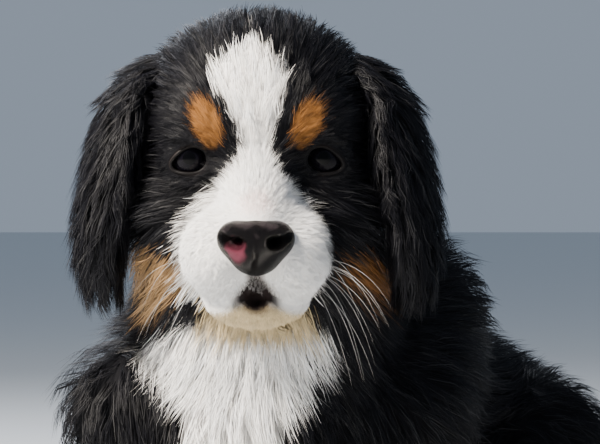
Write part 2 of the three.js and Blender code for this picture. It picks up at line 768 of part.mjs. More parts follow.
for (const side of [LEFT, RIGHT]) {
  const where = SIDE_NAMES[side];
  const leg = FORELEGS[side];
  const wrist = division(leg.wrist, leg.elbow.clone().sub(leg.wrist).setZ(0));
  const legForms = forelegForms(leg);
  const arm = formSurface(legForms, OUTLINE, LEG_STEP, LIMB_ERROR, [[wrist, 1]], CUT_SPARE);
  const paw = formSurface(legForms, OUTLINE, PAW_STEP, LIMB_ERROR, [[wrist, -1]], CUT_SPARE);
  pieces.set(`foreleg_${where}`, trim(solidOf(arm), [[wrist, 1], [FLOOR, 1]]));
  pieces.set(`forepaw_${where}`, trim(solidOf(paw), [[wrist, -1], [FLOOR, 1]]));
  fromTrunk.push(solidOf(grown(arm, GROWTH)), solidOf(grown(paw, GROWTH)));

  const hind = HIND_LEGS[side];
  const foot = formSurface(footForms(hind), OUTLINE, PAW_STEP, LIMB_ERROR);
  const grownFoot = solidOf(grown(foot, GROWTH));
  pieces.set(`hind_paw_${where}`, trim(solidOf(foot), floorOnly));

  const hip = [[division(onHips(side * HIP_CORE, 0, 0), HIP_OUT.clone().multiplyScalar(side)), 1]];
  const forms = thighForms(hind);
  const claim = formSurface(forms, OUTLINE, THIGH_STEP, LIMB_ERROR, hip);
  const thighCore = formSurface(forms, CORE, THIGH_STEP, LIMB_ERROR, hip);
  const thighOutline = fieldOf(forms);
  const outer = (p) => side * p.clone().sub(RUMP).dot(HIP_OUT) > HIP_CORE + 8 && p.z > LOCK_FLOOR;
  const locks = spreadRoots(thighCore, THIGH_LOCK.spacing, outer)
    .map((root) => lockSolid(thighOutline, root, V(0.25, 0.35, -1), THIGH_LOCK));
  const filled = joinAll([solidOf(thighCore), solidOf(claim).intersect(solidOf(trunkCore)), ...locks], LOCK_ERROR);
  pieces.set(`thigh_${where}`, trim(filled.intersect(solidOf(claim)).subtract(grownFoot), floorOnly));
  fromTrunk.push(solidOf(grown(claim, GROWTH)), grownFoot);
}

// The tail: its coat runs to the tip, longest underneath.
const tailForms = [chain(TAIL_COAT, 1, TAIL_POINTS.map((point, i) => [point, TAIL_RADII[i]]))];
const tailClaim = formSurface(tailForms, OUTLINE, THIGH_STEP, LIMB_ERROR);
const tailCore = formSurface(tailForms, CORE, THIGH_STEP, LIMB_ERROR);
const tailLie = TAIL_POINTS.at(-1).clone().sub(TAIL_POINTS[0]).setZ(-12);
const tailLocks = spreadRoots(tailCore, TAIL_LOCK.spacing, (p) => p.z > 12)
  .map((root) => lockSolid(fieldOf(tailForms), root, tailLie, TAIL_LOCK));
const tailFill = solidOf(tailClaim).intersect(solidOf(trunkCore));
const tailSolid = joinAll([solidOf(tailCore), tailFill, ...tailLocks], LOCK_ERROR).intersect(solidOf(tailClaim));
pieces.set("tail", trim(tailSolid, floorOnly));
fromTrunk.push(solidOf(grown(tailClaim, GROWTH)));

// The ears. Each hangs in a claim that the head and neck are cut back from, and its locks stay in it.
// A section runs from the ear's rear edge to its front edge, and its outer face looks out from there.
function earAxes(side) {
  const turned = (out, forward) => HEAD_SIDE.clone().multiplyScalar(side * out).addScaledVector(HEAD_FORWARD, forward);
  return {
    frontward: turned(-Math.sin(EAR_TURN), Math.cos(EAR_TURN)),
    outward: turned(Math.cos(EAR_TURN), Math.sin(EAR_TURN)),
  };
}

function earGeometry(side, share, spare = 0) {
  const { frontward } = earAxes(side);
  const at = ({ out, forward, up }) => onHead(side * out, forward, up);
  const points = EAR_STATIONS.map(at);
  const rings = EAR_STATIONS.map(({ half, thick }, row) => {
    const along = points[Math.min(row + 1, points.length - 1)].clone().sub(points[Math.max(row - 1, 0)]);
    const outward = along.normalize().cross(frontward).multiplyScalar(-side).normalize();
    return Array.from({ length: EAR_SIDES }, (_, i) => {
      const angle = (i / EAR_SIDES) * 2 * Math.PI;
      const cup = EAR_CUP * Math.sin(angle) ** 2;
      const outer = Math.sin(angle) > 0 ? share * thick + spare : INNER_SHARE * thick;
      return points[row]
        .clone()
        .addScaledVector(frontward, (half * (share + 1) / 2 + spare) * Math.cos(angle))
        .addScaledVector(outward, outer * Math.sin(angle) + cup);
    });
  });
  const hang = spare * 1.5;
  return loft(rings, at(EAR_ROOT), onHead(side * EAR_TIP.out, EAR_TIP.forward, EAR_TIP.up - hang));
}

// Locks along an ear's outer face and edges, which lie down it and end past its tip.
function earLocks(side) {
  const locks = [];
  const { frontward, outward } = earAxes(side);
  EAR_STATIONS.slice(2).forEach(({ out, forward, up, half, thick }, row) => {
    for (const across of row % 2 ? [0] : [-0.9, 0.9]) {
      const jitter = random(-3, 3);
      const root = onHead(side * out, forward, up + jitter)
        .addScaledVector(frontward, across * half * 0.9)
        .addScaledVector(outward, -1);
      const flow = frontward.clone().multiplyScalar(across * 0.25).addScaledVector(outward, 0.05).sub(UP).normalize();
      const { length, width, thick: depth } = EAR_LOCK;
      const lift = thick * 0.5 + EAR_CUP * (1 - across * across);
      const place = (t, rise) => root.clone().addScaledVector(flow, t * length).addScaledVector(outward, rise);
      const rings = LOCK_STATIONS.map(({ along, width: share }, station) => {
        const centre = place(along, lift + [-3, 0, 1][station]);
        const edge = outward.clone().cross(flow).multiplyScalar(0.5 * width * share);
        return [
          centre.clone().add(edge),
          centre.clone().addScaledVector(outward, 0.5 * depth),
          centre.clone().sub(edge),
          centre.clone().addScaledVector(outward, -0.9 * depth),
        ];
      });
      locks.push(solidOf(loft(rings, place(-0.05, lift - 4), place(1, lift + random(-2, 2)))));
    }
  });
  return locks;
}

const EAR_SPARE = 6; // how far the locks may reach past the ear's plain form
const fromHead = [];
for (const side of [LEFT, RIGHT]) {
  const where = SIDE_NAMES[side];
  const claim = earGeometry(side, 1, EAR_SPARE);
  const flap = joinAll([solidOf(earGeometry(side, LEATHER)), ...earLocks(side)], EAR_ERROR);
  pieces.set(`ear_${where}`, flap.intersect(solidOf(claim)));
  fromHead.push(solidOf(grown(claim, GROWTH)));

  const eyeCentre = onHead(side * HALF_EYE_SPACING, -3, 0);
  const eyeAt = (radius) => {
    const ball = new THREE.SphereGeometry(radius, 14, 10).rotateX(Math.PI / 2);
    return solidOf(ball.translate(...eyeCentre.toArray()));
  };
  pieces.set(`eye_${where}`, eyeAt(EYEBALL_RADIUS));
  fromHead.push(eyeAt(EYEBALL_RADIUS + GAP));
  const opening = new THREE.SphereGeometry(1, 14, 10).scale(LID.across, 16, LID.high);
  fromHead.push(solidOf(opening.translate(eyeCentre.x, eyeCentre.y - 14, eyeCentre.z)));
}

// A round cord through some points, closed by its own tips.
function cordAlong(points, radius, sides = 6, steps = 12) {
  const curve = new THREE.CatmullRomCurve3(points);
  const rings = Array.from({ length: steps + 1 }, (_, i) => {
    const t = i / steps;
    const along = curve.getTangentAt(t);
    const across = along.clone().cross(HEAD_UP).normalize();
    const over = across.clone().cross(along);
    return Array.from({ length: sides }, (_, k) => {
      const angle = (k / sides) * 2 * Math.PI;
      return curve
        .getPointAt(t)
        .addScaledVector(across, radius * Math.cos(angle))
        .addScaledVector(over, radius * Math.sin(angle));
    });
  });
  const tip = (t, sense) => curve.getPointAt(t).addScaledVector(curve.getTangentAt(t), sense * radius * 0.6);
  return solidOf(loft(rings, tip(0, -1), tip(1, 1)));
}

const nose = thinned(
  solidOf(surfaceOf(carved(fieldOf(NOSE_FORMS), NOSTRILS), boxOf(NOSE_FORMS), NOSE_STEP)), 0.15, LONGEST_EDGE,
);
const noseSeat = surfaceOf(fieldOf(NOSE_FORMS), boxOf(NOSE_FORMS), NOSE_STEP);
pieces.set("nose", solidOf(nose));
fromHead.push(solidOf(grown(noseSeat, GROWTH + 0.15)));

const grooves = both((side) => {
  const points = MOUTH_POINTS.map(({ out, forward, up }) => onHead(side * out, forward, up));
  return cordAlong(points.map((point) => atDepth(outline, point, 0)), LIP_GROOVE);
});
const lids = both((side) => {
  const rim = new THREE.TorusGeometry(1, LID.radius / LID.across, 6, 16).rotateX(Math.PI / 2);
  rim.scale(LID.across, LID.across, LID.high);
  const place = onHead(side * HALF_EYE_SPACING, -3, 0);
  return solidOf(rim.translate(place.x, place.y - LID.front, place.z));
});

const headSolid = joinAll([solidOf(headCore), ...ruffLocks, ...lids], FACE_ERROR)
  .subtract(joinAll([...fromHead, ...grooves]));
pieces.set("head", trim(headSolid, headLimits));

const trunkSolid = joinAll([solidOf(trunkCore), ...trunkLocks, ...neckLocks, ...ruffLocks], LOCK_ERROR)
  .subtract(joinAll([...fromTrunk, ...fromHead]));
pieces.set("neck", trim(trunkSolid, neckLimits));
pieces.set("chest", trim(trunkSolid, chestLimits));
pieces.set("loin", trim(trunkSolid, loinLimits));

// What each piece mostly shows: black, white or rust-brown coat, moist nose leather or a wet dark eye.
const BLACK_COAT = { color: 0x1a191c, roughness: 0.6, metalness: 0 };
const FACE_MIX = { color: 0x3d3632, roughness: 0.65, metalness: 0 };
const WHITE_COAT = { color: 0xe9e4de, roughness: 0.7, metalness: 0 };
const TAN_COAT = { color: 0x8e552b, roughness: 0.65, metalness: 0 };
const NOSE_LEATHER = { color: 0x221a1b, roughness: 0.35, metalness: 0 };
const WET_EYE = { color: 0x120b08, roughness: 0.08, metalness: 0 };
const FINISHES = {
  head: FACE_MIX,
  nose: NOSE_LEATHER,
  eye: WET_EYE,
  foreleg: TAN_COAT,
  forepaw: WHITE_COAT,
  hind_paw: WHITE_COAT,
};

const dog = new THREE.Group();
for (const [name, solid] of pieces) {
  const geometry = thinned(largest(solid), LAST_ERROR, LONGEST_EDGE);
  const finish = FINISHES[name.replace(/_(left|right)$/, "")] ?? BLACK_COAT;
  const mesh = new THREE.Mesh(geometry, new THREE.MeshStandardMaterial(finish));
  mesh.name = name;
  dog.add(mesh);
}

// The origin lies on the floor under the middle of the whole part.
const middle = new THREE.Box3().setFromObject(dog).getCenter(V(0, 0, 0));
dog.position.set(-middle.x, -middle.y, 0);
dog.updateMatrixWorld(true);

export default dog;
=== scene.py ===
import math

import bpy
import numpy as np
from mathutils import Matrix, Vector


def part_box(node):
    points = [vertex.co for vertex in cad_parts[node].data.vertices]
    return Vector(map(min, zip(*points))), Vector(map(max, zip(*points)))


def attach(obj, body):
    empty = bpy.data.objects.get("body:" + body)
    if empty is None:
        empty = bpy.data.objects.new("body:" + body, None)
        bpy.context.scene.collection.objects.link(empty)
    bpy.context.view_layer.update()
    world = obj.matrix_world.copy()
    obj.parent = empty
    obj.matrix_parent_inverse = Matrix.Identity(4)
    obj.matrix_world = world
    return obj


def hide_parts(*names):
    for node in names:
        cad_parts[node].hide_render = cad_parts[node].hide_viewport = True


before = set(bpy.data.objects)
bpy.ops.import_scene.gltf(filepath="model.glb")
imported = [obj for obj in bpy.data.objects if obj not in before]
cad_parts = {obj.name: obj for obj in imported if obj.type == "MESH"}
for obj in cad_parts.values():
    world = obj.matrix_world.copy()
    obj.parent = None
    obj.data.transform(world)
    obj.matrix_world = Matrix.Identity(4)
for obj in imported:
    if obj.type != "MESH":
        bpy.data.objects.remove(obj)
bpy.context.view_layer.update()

# The dog's own axes, in millimetres: +X to its left, -Y out of its face and +Z up, from the floor under
# the middle of its head. The head has axes of its own, tipped down a little. The eyes' place in the
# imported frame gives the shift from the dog's axes to the frame's.
MM = 0.001
LEFT, RIGHT = 1, -1
SIDE_NAMES = {LEFT: "left", RIGHT: "right"}
EYE_HEIGHT = 208
FACE_Y = -95
EYE_SET = 3  # from the front of the face back to the middle of an eyeball
HEAD_PITCH = math.radians(6)
HEAD_ORIGIN = np.array([0, FACE_Y, EYE_HEIGHT], float)
HEAD_SIDE = np.array([1.0, 0, 0])
HEAD_FORWARD = np.array([0, -math.cos(HEAD_PITCH), -math.sin(HEAD_PITCH)])
HEAD_UP = np.array([0, -math.sin(HEAD_PITCH), math.cos(HEAD_PITCH)])
HEAD_AXES = np.array([HEAD_SIDE, HEAD_FORWARD, HEAD_UP])
left_low, left_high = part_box("eye_left")
right_low, right_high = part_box("eye_right")
eyes_middle = (np.array(left_low) + left_high + right_low + right_high) / 4 / MM
SHIFT = eyes_middle - (HEAD_ORIGIN - EYE_SET * HEAD_FORWARD)


def metres(points):
    """Places on the dog's axes as places in the frame."""
    return (np.asarray(points, float) + SHIFT) * MM


# The camera looks into the dog's face, almost level, through a long lens from a metre and a half away.
# The real size of a pixel at the eyes sets the length of the lens.
CAMERA_DISTANCE = 1500
CAMERA_HEIGHT = 205
VIEW_SIDE = 18.5
VIEW_HEIGHT = 180.5
IMAGE_WIDTH = 600
PIXEL = 0.43
SENSOR_WIDTH = 36
VIEW_END = 20
camera = bpy.data.objects.new("camera", bpy.data.cameras.new("camera"))
bpy.context.scene.collection.objects.link(camera)
bpy.context.scene.camera = camera
camera_place = np.array([VIEW_SIDE, FACE_Y - CAMERA_DISTANCE, CAMERA_HEIGHT])
camera.location = metres(camera_place)
view_line = Vector(np.array([VIEW_SIDE, FACE_Y, VIEW_HEIGHT]) - camera_place)
camera.rotation_euler = view_line.to_track_quat("-Z", "Y").to_euler()
camera.data.sensor_width = SENSOR_WIDTH
camera.data.lens = SENSOR_WIDTH * CAMERA_DISTANCE / (IMAGE_WIDTH * PIXEL)
camera.data.clip_end = VIEW_END

# The studio: a painted floor that runs far back, a small warm key light from the upper left, a wide cool
# fill from the right, a rim light from behind and a pale sky all round.
FLOOR_SIZE = 12
FLOOR_PLACE = (0, 3, 0)
SKY_STRENGTH = 0.42
FACE_CENTRE = (0, -60, 180)


def linear(colour):
    """An sRGB hex colour as linear red, green and blue."""
    channels = np.array([int(colour[i : i + 2], 16) for i in (1, 3, 5)]) / 255
    return np.where(channels < 0.04045, channels / 12.92, ((channels + 0.055) / 1.055) ** 2.4)


def new_material(name, inputs):
    """A material and its Principled shader, with those inputs of the shader set."""
    material = bpy.data.materials.new(name)
    material.use_nodes = True
    shader = material.node_tree.nodes["Principled BSDF"]
    for input_name, value in inputs.items():
        shader.inputs[input_name].default_value = value
    return material, shader


def add_light(name, place, size, power, colour):
    """A square area light that faces the dog's head."""
    light = bpy.data.objects.new(name, bpy.data.lights.new(name, "AREA"))
    bpy.context.scene.collection.objects.link(light)
    light.data.size = size
    light.data.energy = power
    light.data.color = linear(colour)
    light.location = metres(place)
    aim = Vector(metres(FACE_CENTRE)) - light.location
    light.rotation_euler = aim.to_track_quat("-Z", "Y").to_euler()


# Matt wall paint, rolled on: even and pale, with hardly any shine.
floor_paint, _ = new_material("matt_floor_paint", {"Base Color": (*linear("#CFD3D6"), 1), "Roughness": 0.9})
bpy.ops.mesh.primitive_plane_add(size=FLOOR_SIZE, location=FLOOR_PLACE)
floor = bpy.context.object
floor.name = "floor"
floor.data.materials.append(floor_paint)
studio = bpy.data.worlds.new("studio")
bpy.context.scene.world = studio
studio.use_nodes = True
sky = studio.node_tree.nodes["Background"]
sky.inputs["Color"].default_value = (*linear("#CFE0F6"), 1)
sky.inputs["Strength"].default_value = SKY_STRENGTH
add_light("key_light", place=(-650, -620, 900), size=0.3, power=60, colour="#FFF5E8")
add_light("fill_light", place=(1000, -900, 350), size=1.2, power=1.2, colour="#DDE8FF")
add_light("rim_light", place=(-500, 900, 1000), size=0.6, power=14, colour="#F2F6FF")

# The flesh of a puppy of seven weeks under its coat: a round trunk, a thick neck and a broad head. Each
# form is a row of balls joined by tapers, or an ellipsoid, and runs softly into the others. It also has
# the depth of the coat on it, from 3 mm on the feet to 15 mm on the neck.
FACE_COAT, CROWN_COAT, CHEEK_COAT, NECK_COAT = 3.5, 7, 9, 15
BODY_COAT, THIGH_COAT, LEG_COAT, PAW_COAT, TAIL_COAT = 13, 10, 5, 3, 13
HIP_YAW = math.radians(38)
HIP_OUT = np.array([math.cos(HIP_YAW), -math.sin(HIP_YAW), 0])
HIP_BACK = np.array([math.sin(HIP_YAW), math.cos(HIP_YAW), 0])
RUMP = np.array([98.0, 124, 64])
HIP_HALF_WIDTH = 44


def on_head(side, forward, up):
    """A place on the head as a place on the dog's axes."""
    return HEAD_ORIGIN + np.array([side, forward, up], float) @ HEAD_AXES


def head_place(points):
    """Points as side, forward and up on the head."""
    return (np.asarray(points, float) - HEAD_ORIGIN) @ HEAD_AXES.T


def on_hips(out, back, height):
    """A place beside and behind the rump, at that height over the floor."""
    place = RUMP + out * HIP_OUT + back * HIP_BACK
    return np.array([place[0], place[1], height])


def unit(vectors):
    vectors = np.asarray(vectors, float)
    return vectors / np.maximum(np.linalg.norm(vectors, axis=-1, keepdims=True), 1e-9)


def chain(coat, blend, balls):
    """Balls, each a place and a radius, joined by tapers."""
    return {"coat": coat, "blend": blend, "balls": [(np.array(c, float), r) for c, r in balls]}


def egg(coat, blend, centre, radii, axes=HEAD_AXES):
    """An ellipsoid with these radii along its axes."""
    return {
        "coat": coat, "blend": blend, "axes": axes,
        "centre": np.array(centre, float), "radii": np.array(radii),
    }


def form_distance(form, points):
    """How far the points are outside the form, negative inside."""
    if "centre" in form:
        scaled = (points - form["centre"]) @ form["axes"].T / form["radii"]
        length = np.linalg.norm(scaled, axis=1)
        steep = np.linalg.norm(scaled / form["radii"], axis=1)
        return length * (length - 1) / np.maximum(steep, 1e-9)
    balls = form["balls"]
    nearest = np.full(len(points), np.inf)
    for (a, radius_a), (b, radius_b) in zip(balls, balls[1:] or balls):
        along = b - a
        t = np.clip((points - a) @ along / max(along @ along, 1e-9), 0, 1)
        away = np.linalg.norm(points - a - t[:, None] * along, axis=1)
        nearest = np.minimum(nearest, away - radius_a - t * (radius_b - radius_a))
    return nearest


def smooth_min(a, b, k):
    """The smaller of two values, rounded where they differ by less than k."""
    h = np.maximum(k - np.abs(a - b), 0) / k
    return np.minimum(a, b) - h * h * k / 4


def smooth_max(a, b, k):
    return -smooth_min(-a, -b, k)


def joined(forms, points):
    """How far the points are outside all these forms, run into one."""
    distance = form_distance(forms[0], points)
    for form in forms[1:]:
        distance = smooth_min(distance, form_distance(form, points), form["blend"])
    return distance


BACK = [((2, -16, 84), 55), ((18, 24, 89), 59), ((42, 58, 87), 58), ((70, 92, 79), 53), (RUMP, 50)]
TRUNK = [
    chain(BODY_COAT, 1, BACK),
    chain(BODY_COAT, 20, [((0, -14, 52), 44), ((18, 28, 50), 48), ((44, 62, 50), 48), ((90, 114, 48), 44)]),
    chain(BODY_COAT, 18, [((60, -12, 90), 31), ((68, 38, 135), 32), ((40, 44, 128), 34)]),
    chain(BODY_COAT, 18, [((-55, -28, 94), 29), ((-18, 6, 126), 28)]),
]
NECK = [chain(NECK_COAT, 18, [((6, -12, 118), 52), ((2, -38, 150), 47), ((0, -56, 182), 43)])]
HEAD = [
    egg(CROWN_COAT, 14, on_head(0, -36, 14), (50, 50, 44)),
    *[egg(CHEEK_COAT, 14, on_head(s * 30, -24, -26), (24, 30, 29)) for s in (LEFT, RIGHT)],
    egg(CHEEK_COAT, 14, on_head(0, -20, -42), (36, 38, 24)),
    *[egg(FACE_COAT, 10, on_head(s * 21, -6, 15), (19, 17, 16)) for s in (LEFT, RIGHT)],
    chain(FACE_COAT, 9, [(on_head(0, -4, -4), 15), (on_head(0, 24, -19), 14), (on_head(0, 38, -27), 12)]),
    *[egg(FACE_COAT, 8, on_head(s * 14.5, 23, -38), (17, 24, 18)) for s in (LEFT, RIGHT)],
    egg(FACE_COAT, 5, on_head(0, 16, -58), (23, 20, 12.5)),
]
TAIL_POINTS = [on_hips(0, 44, 44), on_hips(4, 74, 27), on_hips(16, 104, 22), on_hips(40, 126, 17)]
TAIL = [chain(TAIL_COAT, 10, list(zip(TAIL_POINTS, (13, 11, 9, 4))))]

# The legs lie on the floor, the forelegs forward and the hind legs folded beside the belly. Each ends in
# a paw with a round palm and four toes, of which the two in the middle reach further.
FORELEGS = {
    LEFT: {"elbow": (66, 6, 22), "wrist": (52, -84, 16), "toes": (47, -122, 10)},
    RIGHT: {"elbow": (-62, -24, 22), "wrist": (-52, -100, 16), "toes": (-49, -138, 10)},
}
HIND_LEGS = {
    s: {
        "hip": on_hips(s * HIP_HALF_WIDTH, -4, 66),
        "knee": on_hips(s * (HIP_HALF_WIDTH + 14), -48, 46),
        "hock": on_hips(s * (HIP_HALF_WIDTH + 16), 4, 17),
        "toes": on_hips(s * (HIP_HALF_WIDTH + 26), -66, 10),
    }
    for s in (LEFT, RIGHT)
}
TOE_SPREADS = (-12.5, -4.3, 4.3, 12.5)
TOE_RADIUS = 6.9
TOE_LENGTH = 11
TOE_HEIGHT = 8
KNUCKLE_HEIGHT = 12.5
MIDDLE_REACH, OUTER_REACH = 2, -3
PALM_BACK = 22
PALM_HEIGHT = 12


def paw_axes(start, toes):
    forward = unit((np.array(toes) - start) * [1, 1, 0])
    return forward, np.cross(forward, [0, 0, 1])


def toe_places(start, toes):
    """The knuckle and tip of each of a paw's four toes."""
    forward, across = paw_axes(start, toes)
    places = []
    for spread in TOE_SPREADS:
        reach = MIDDLE_REACH if abs(spread) < max(TOE_SPREADS) else OUTER_REACH
        tip = np.array(toes) + spread * across + reach * forward
        tip[2] = TOE_HEIGHT
        knuckle = tip - TOE_LENGTH * forward
        knuckle[2] = KNUCKLE_HEIGHT
        places.append((knuckle, tip))
    return places


def paw(start, toes):
    forward, across = paw_axes(start, toes)
    palm = np.array(toes) - PALM_BACK * forward
    palm[2] = PALM_HEIGHT
    forms = [chain(PAW_COAT, 6, [(start, 12), (palm, 12.5)])]
    for spread, (knuckle, tip) in zip(TOE_SPREADS, toe_places(start, toes)):
        root = palm + 0.7 * spread * across
        toe = [(root, TOE_RADIUS), (knuckle, TOE_RADIUS), (tip, TOE_RADIUS - 0.6)]
        forms.append(chain(PAW_COAT, 2.5, toe))
    return forms


def foreleg(leg):
    elbow, wrist = np.array(leg["elbow"], float), np.array(leg["wrist"], float)
    upper = chain(LEG_COAT, 6, [(elbow, 21), ((elbow + wrist) / 2, 17.5), (wrist, 13)])
    return [upper, *paw(wrist, leg["toes"])]


def hind_leg(leg):
    middle = leg["hip"] + 0.45 * (leg["knee"] - leg["hip"])
    return [
        chain(THIGH_COAT, 6, [(leg["hip"], 36), (middle, 34), (leg["knee"], 25)]),
        chain(LEG_COAT, 14, [(leg["knee"], 20), (leg["hock"], 13)]),
        *paw(leg["hock"], leg["toes"]),
    ]


LIMBS = [form for s in (LEFT, RIGHT) for form in (*foreleg(FORELEGS[s]), *hind_leg(HIND_LEGS[s]))]
FLESH = [*TRUNK, *NECK, *HEAD, *LIMBS, *TAIL]

# The lids are a low dome of skin over each eyeball, with a fold over and under it. The opening in it has
# a round part towards the nose and a low narrow part that droops to the outer corner.
HALF_EYE_SPACING = 28.5
EYEBALL_RADIUS = 9.5
LID_DOME = (12.2, 10.5, 10.6)
OPENING_PARTS = [
    {"out": -1.2, "up": -0.2, "across": 6.8, "high": 6.1, "lean": 0.15},
    {"out": 2.6, "up": -1.5, "across": 6.6, "high": 4.1, "lean": 0.3},
]
# Each fold runs from one angle round the eye to another, in degrees, and has its own thickness.
FOLDS = [(20, 160, 1.9), (205, 335, 1.4)]
FOLD_HALF_WIDTH, FOLD_HALF_HEIGHT, FOLD_AHEAD, FOLD_LEAN = 12.5, 11, 8, 0.2
EYE_CENTRES = {s: on_head(s * HALF_EYE_SPACING, -EYE_SET, 0) for s in (LEFT, RIGHT)}
LID_DOMES = [egg(0, 5, EYE_CENTRES[s], LID_DOME) for s in (LEFT, RIGHT)]


def opening_axes(side, lean):
    """Axes of an eye's opening, whose outer end drops by the lean."""
    out = unit(HEAD_SIDE - side * lean * HEAD_UP)
    return np.array([out, HEAD_FORWARD, np.cross(out, HEAD_FORWARD)])


def opening_part(side, part):
    centre = EYE_CENTRES[side] + side * part["out"] * HEAD_SIDE + 12 * HEAD_FORWARD + part["up"] * HEAD_UP
    return egg(0, 1, centre, (part["across"], 12, part["high"]), opening_axes(side, part["lean"]))


OPENINGS = {s: [opening_part(s, part) for part in OPENING_PARTS] for s in (LEFT, RIGHT)}


def from_opening(points, side):
    """How far the points are outside an eye's opening, negative inside."""
    inner, outer = OPENINGS[side]
    return smooth_min(form_distance(inner, points), form_distance(outer, points), 3)


def slope_of(field, points, step=0.4):
    slopes = [field(points + step * axis) - field(points - step * axis) for axis in np.eye(3)]
    return np.stack(slopes, axis=1) / (2 * step)


def settled(field, points, rounds):
    """The points moved along the field's slope to where it is nought."""
    for _ in range(rounds):
        slope = slope_of(field, points)
        points = points - slope * (field(points) / np.maximum((slope**2).sum(1), 0.25))[:, None]
    return points


def on_flesh(places):
    """Those places moved onto the surface of the flesh."""
    return settled(lambda points: joined(FLESH, points), np.array(places, float), 6)


LID_FOLDS = []
for s in (LEFT, RIGHT):
    across, _, upward = opening_axes(s, FOLD_LEAN)
    for first, last, thick in FOLDS:
        turns = np.radians(np.linspace(first, last, 9))[:, None]
        aside = EYE_CENTRES[s] + FOLD_HALF_WIDTH * np.cos(turns) * across
        fold = on_flesh(aside + FOLD_HALF_HEIGHT * np.sin(turns) * upward + FOLD_AHEAD * HEAD_FORWARD)
        thickness = thick * np.sin(np.linspace(0.3, math.pi - 0.3, 9))
        LID_FOLDS.append(chain(0, 2.5, list(zip(fold, thickness))))

# The parting of the lips, from the middle out to each corner, opens a little under the nose, where a
# narrow groove runs down to it. The places are side, forward and up on the head.
LIP_PLACES = [(0, 42, -51.5), (5, 40, -55.5), (12, 36, -59), (19, 30, -61.5), (26, 20, -61), (31, 10, -57)]
LIP_RADII = (1.5, 1.4, 1.2, 1, 0.8, 0.6)
NOSE_GROOVE_PLACES = [(0, 50, -43), (0, 47, -47), (0, 43, -51)]
NOSE_GROOVE_RADII = (0.8, 1, 1.2)


def groove(places, radii):
    """A groove in the skin of the head through those places."""
    return chain(0, 1, list(zip(on_flesh([on_head(*place) for place in places]), radii)))


MOUTH_GROOVES = [
    *[groove([(s * out, forward, up) for out, forward, up in LIP_PLACES], LIP_RADII) for s in (LEFT, RIGHT)],
    egg(0, 1, on_head(0, 38, -56.5), (4.6, 9, 3.6)),
    groove(NOSE_GROOVE_PLACES, NOSE_GROOVE_RADII),
]


def from_mouth(points):
    return np.min([form_distance(form, points) for form in MOUTH_GROOVES], axis=0)


def skin_field(points):
    """How far the points are outside the skin, negative inside. The floor cuts it flat."""
    distance = joined(FLESH, points)
    for form in (*LID_DOMES, *LID_FOLDS):
        distance = smooth_min(distance, form_distance(form, points), form["blend"])
    for s in (LEFT, RIGHT):
        distance = smooth_max(distance, -from_opening(points, s), 1.2)
    for form in MOUTH_GROOVES:
        distance = smooth_max(distance, -form_distance(form, points), 2)
    return np.maximum(distance, 0.05 - points[:, 2])


# The skin is one closed surface over the whole dog with no seam, as on the animal. It lies on a grid
# that is finest round the eyes and lips, and each grid cell that the surface crosses gives one point.
FINE, MEDIUM, COARSE = 1.1, 1.9, 4.5


def grid_lines(low, high, step_at):
    """Places from low to high, whose step depends on the place."""
    lines = [low]
    while lines[-1] < high:
        lines.append(lines[-1] + step_at(lines[-1]))
    return np.array(lines)


def end_slices(axis, others=slice(None)):
    """Where the low end and the high end of each grid edge along this axis are."""
    low_end, high_end = [others] * 3, [others] * 3
    low_end[axis], high_end[axis] = slice(None, -1), slice(1, None)
    return tuple(low_end), tuple(high_end)


def grid_values(field, lines, coarse):
    """The field on the grid. Far from the surface, which a coarser grid shows, only its sign is kept."""
    coarse_lines = [np.append(row[::coarse], row[-1]) for row in lines]
    corners = np.stack(np.meshgrid(*coarse_lines, indexing="ij"), axis=-1)
    rough = field(corners.reshape(-1, 3)).reshape(corners.shape[:3])
    m, n, p = (size - 1 for size in rough.shape)
    blocks = [rough[i : m + i, j : n + j, k : p + k] for i in (0, 1) for j in (0, 1) for k in (0, 1)]
    widths = np.meshgrid(*[np.diff(row) for row in coarse_lines], indexing="ij", sparse=True)
    near = np.min(np.abs(blocks), axis=0) < np.sqrt(sum(width**2 for width in widths))
    cells = [np.minimum(np.arange(len(row)) // coarse, len(c) - 2) for row, c in zip(lines, coarse_lines)]
    pick = np.ix_(*cells)
    values = np.where(blocks[0] < 0, -1.0, 1.0)[pick]
    wanted = near[pick]
    values[wanted] = field(np.stack([row[i] for row, i in zip(lines, np.nonzero(wanted))], axis=1))
    values[values == 0] = 1e-9
    return values


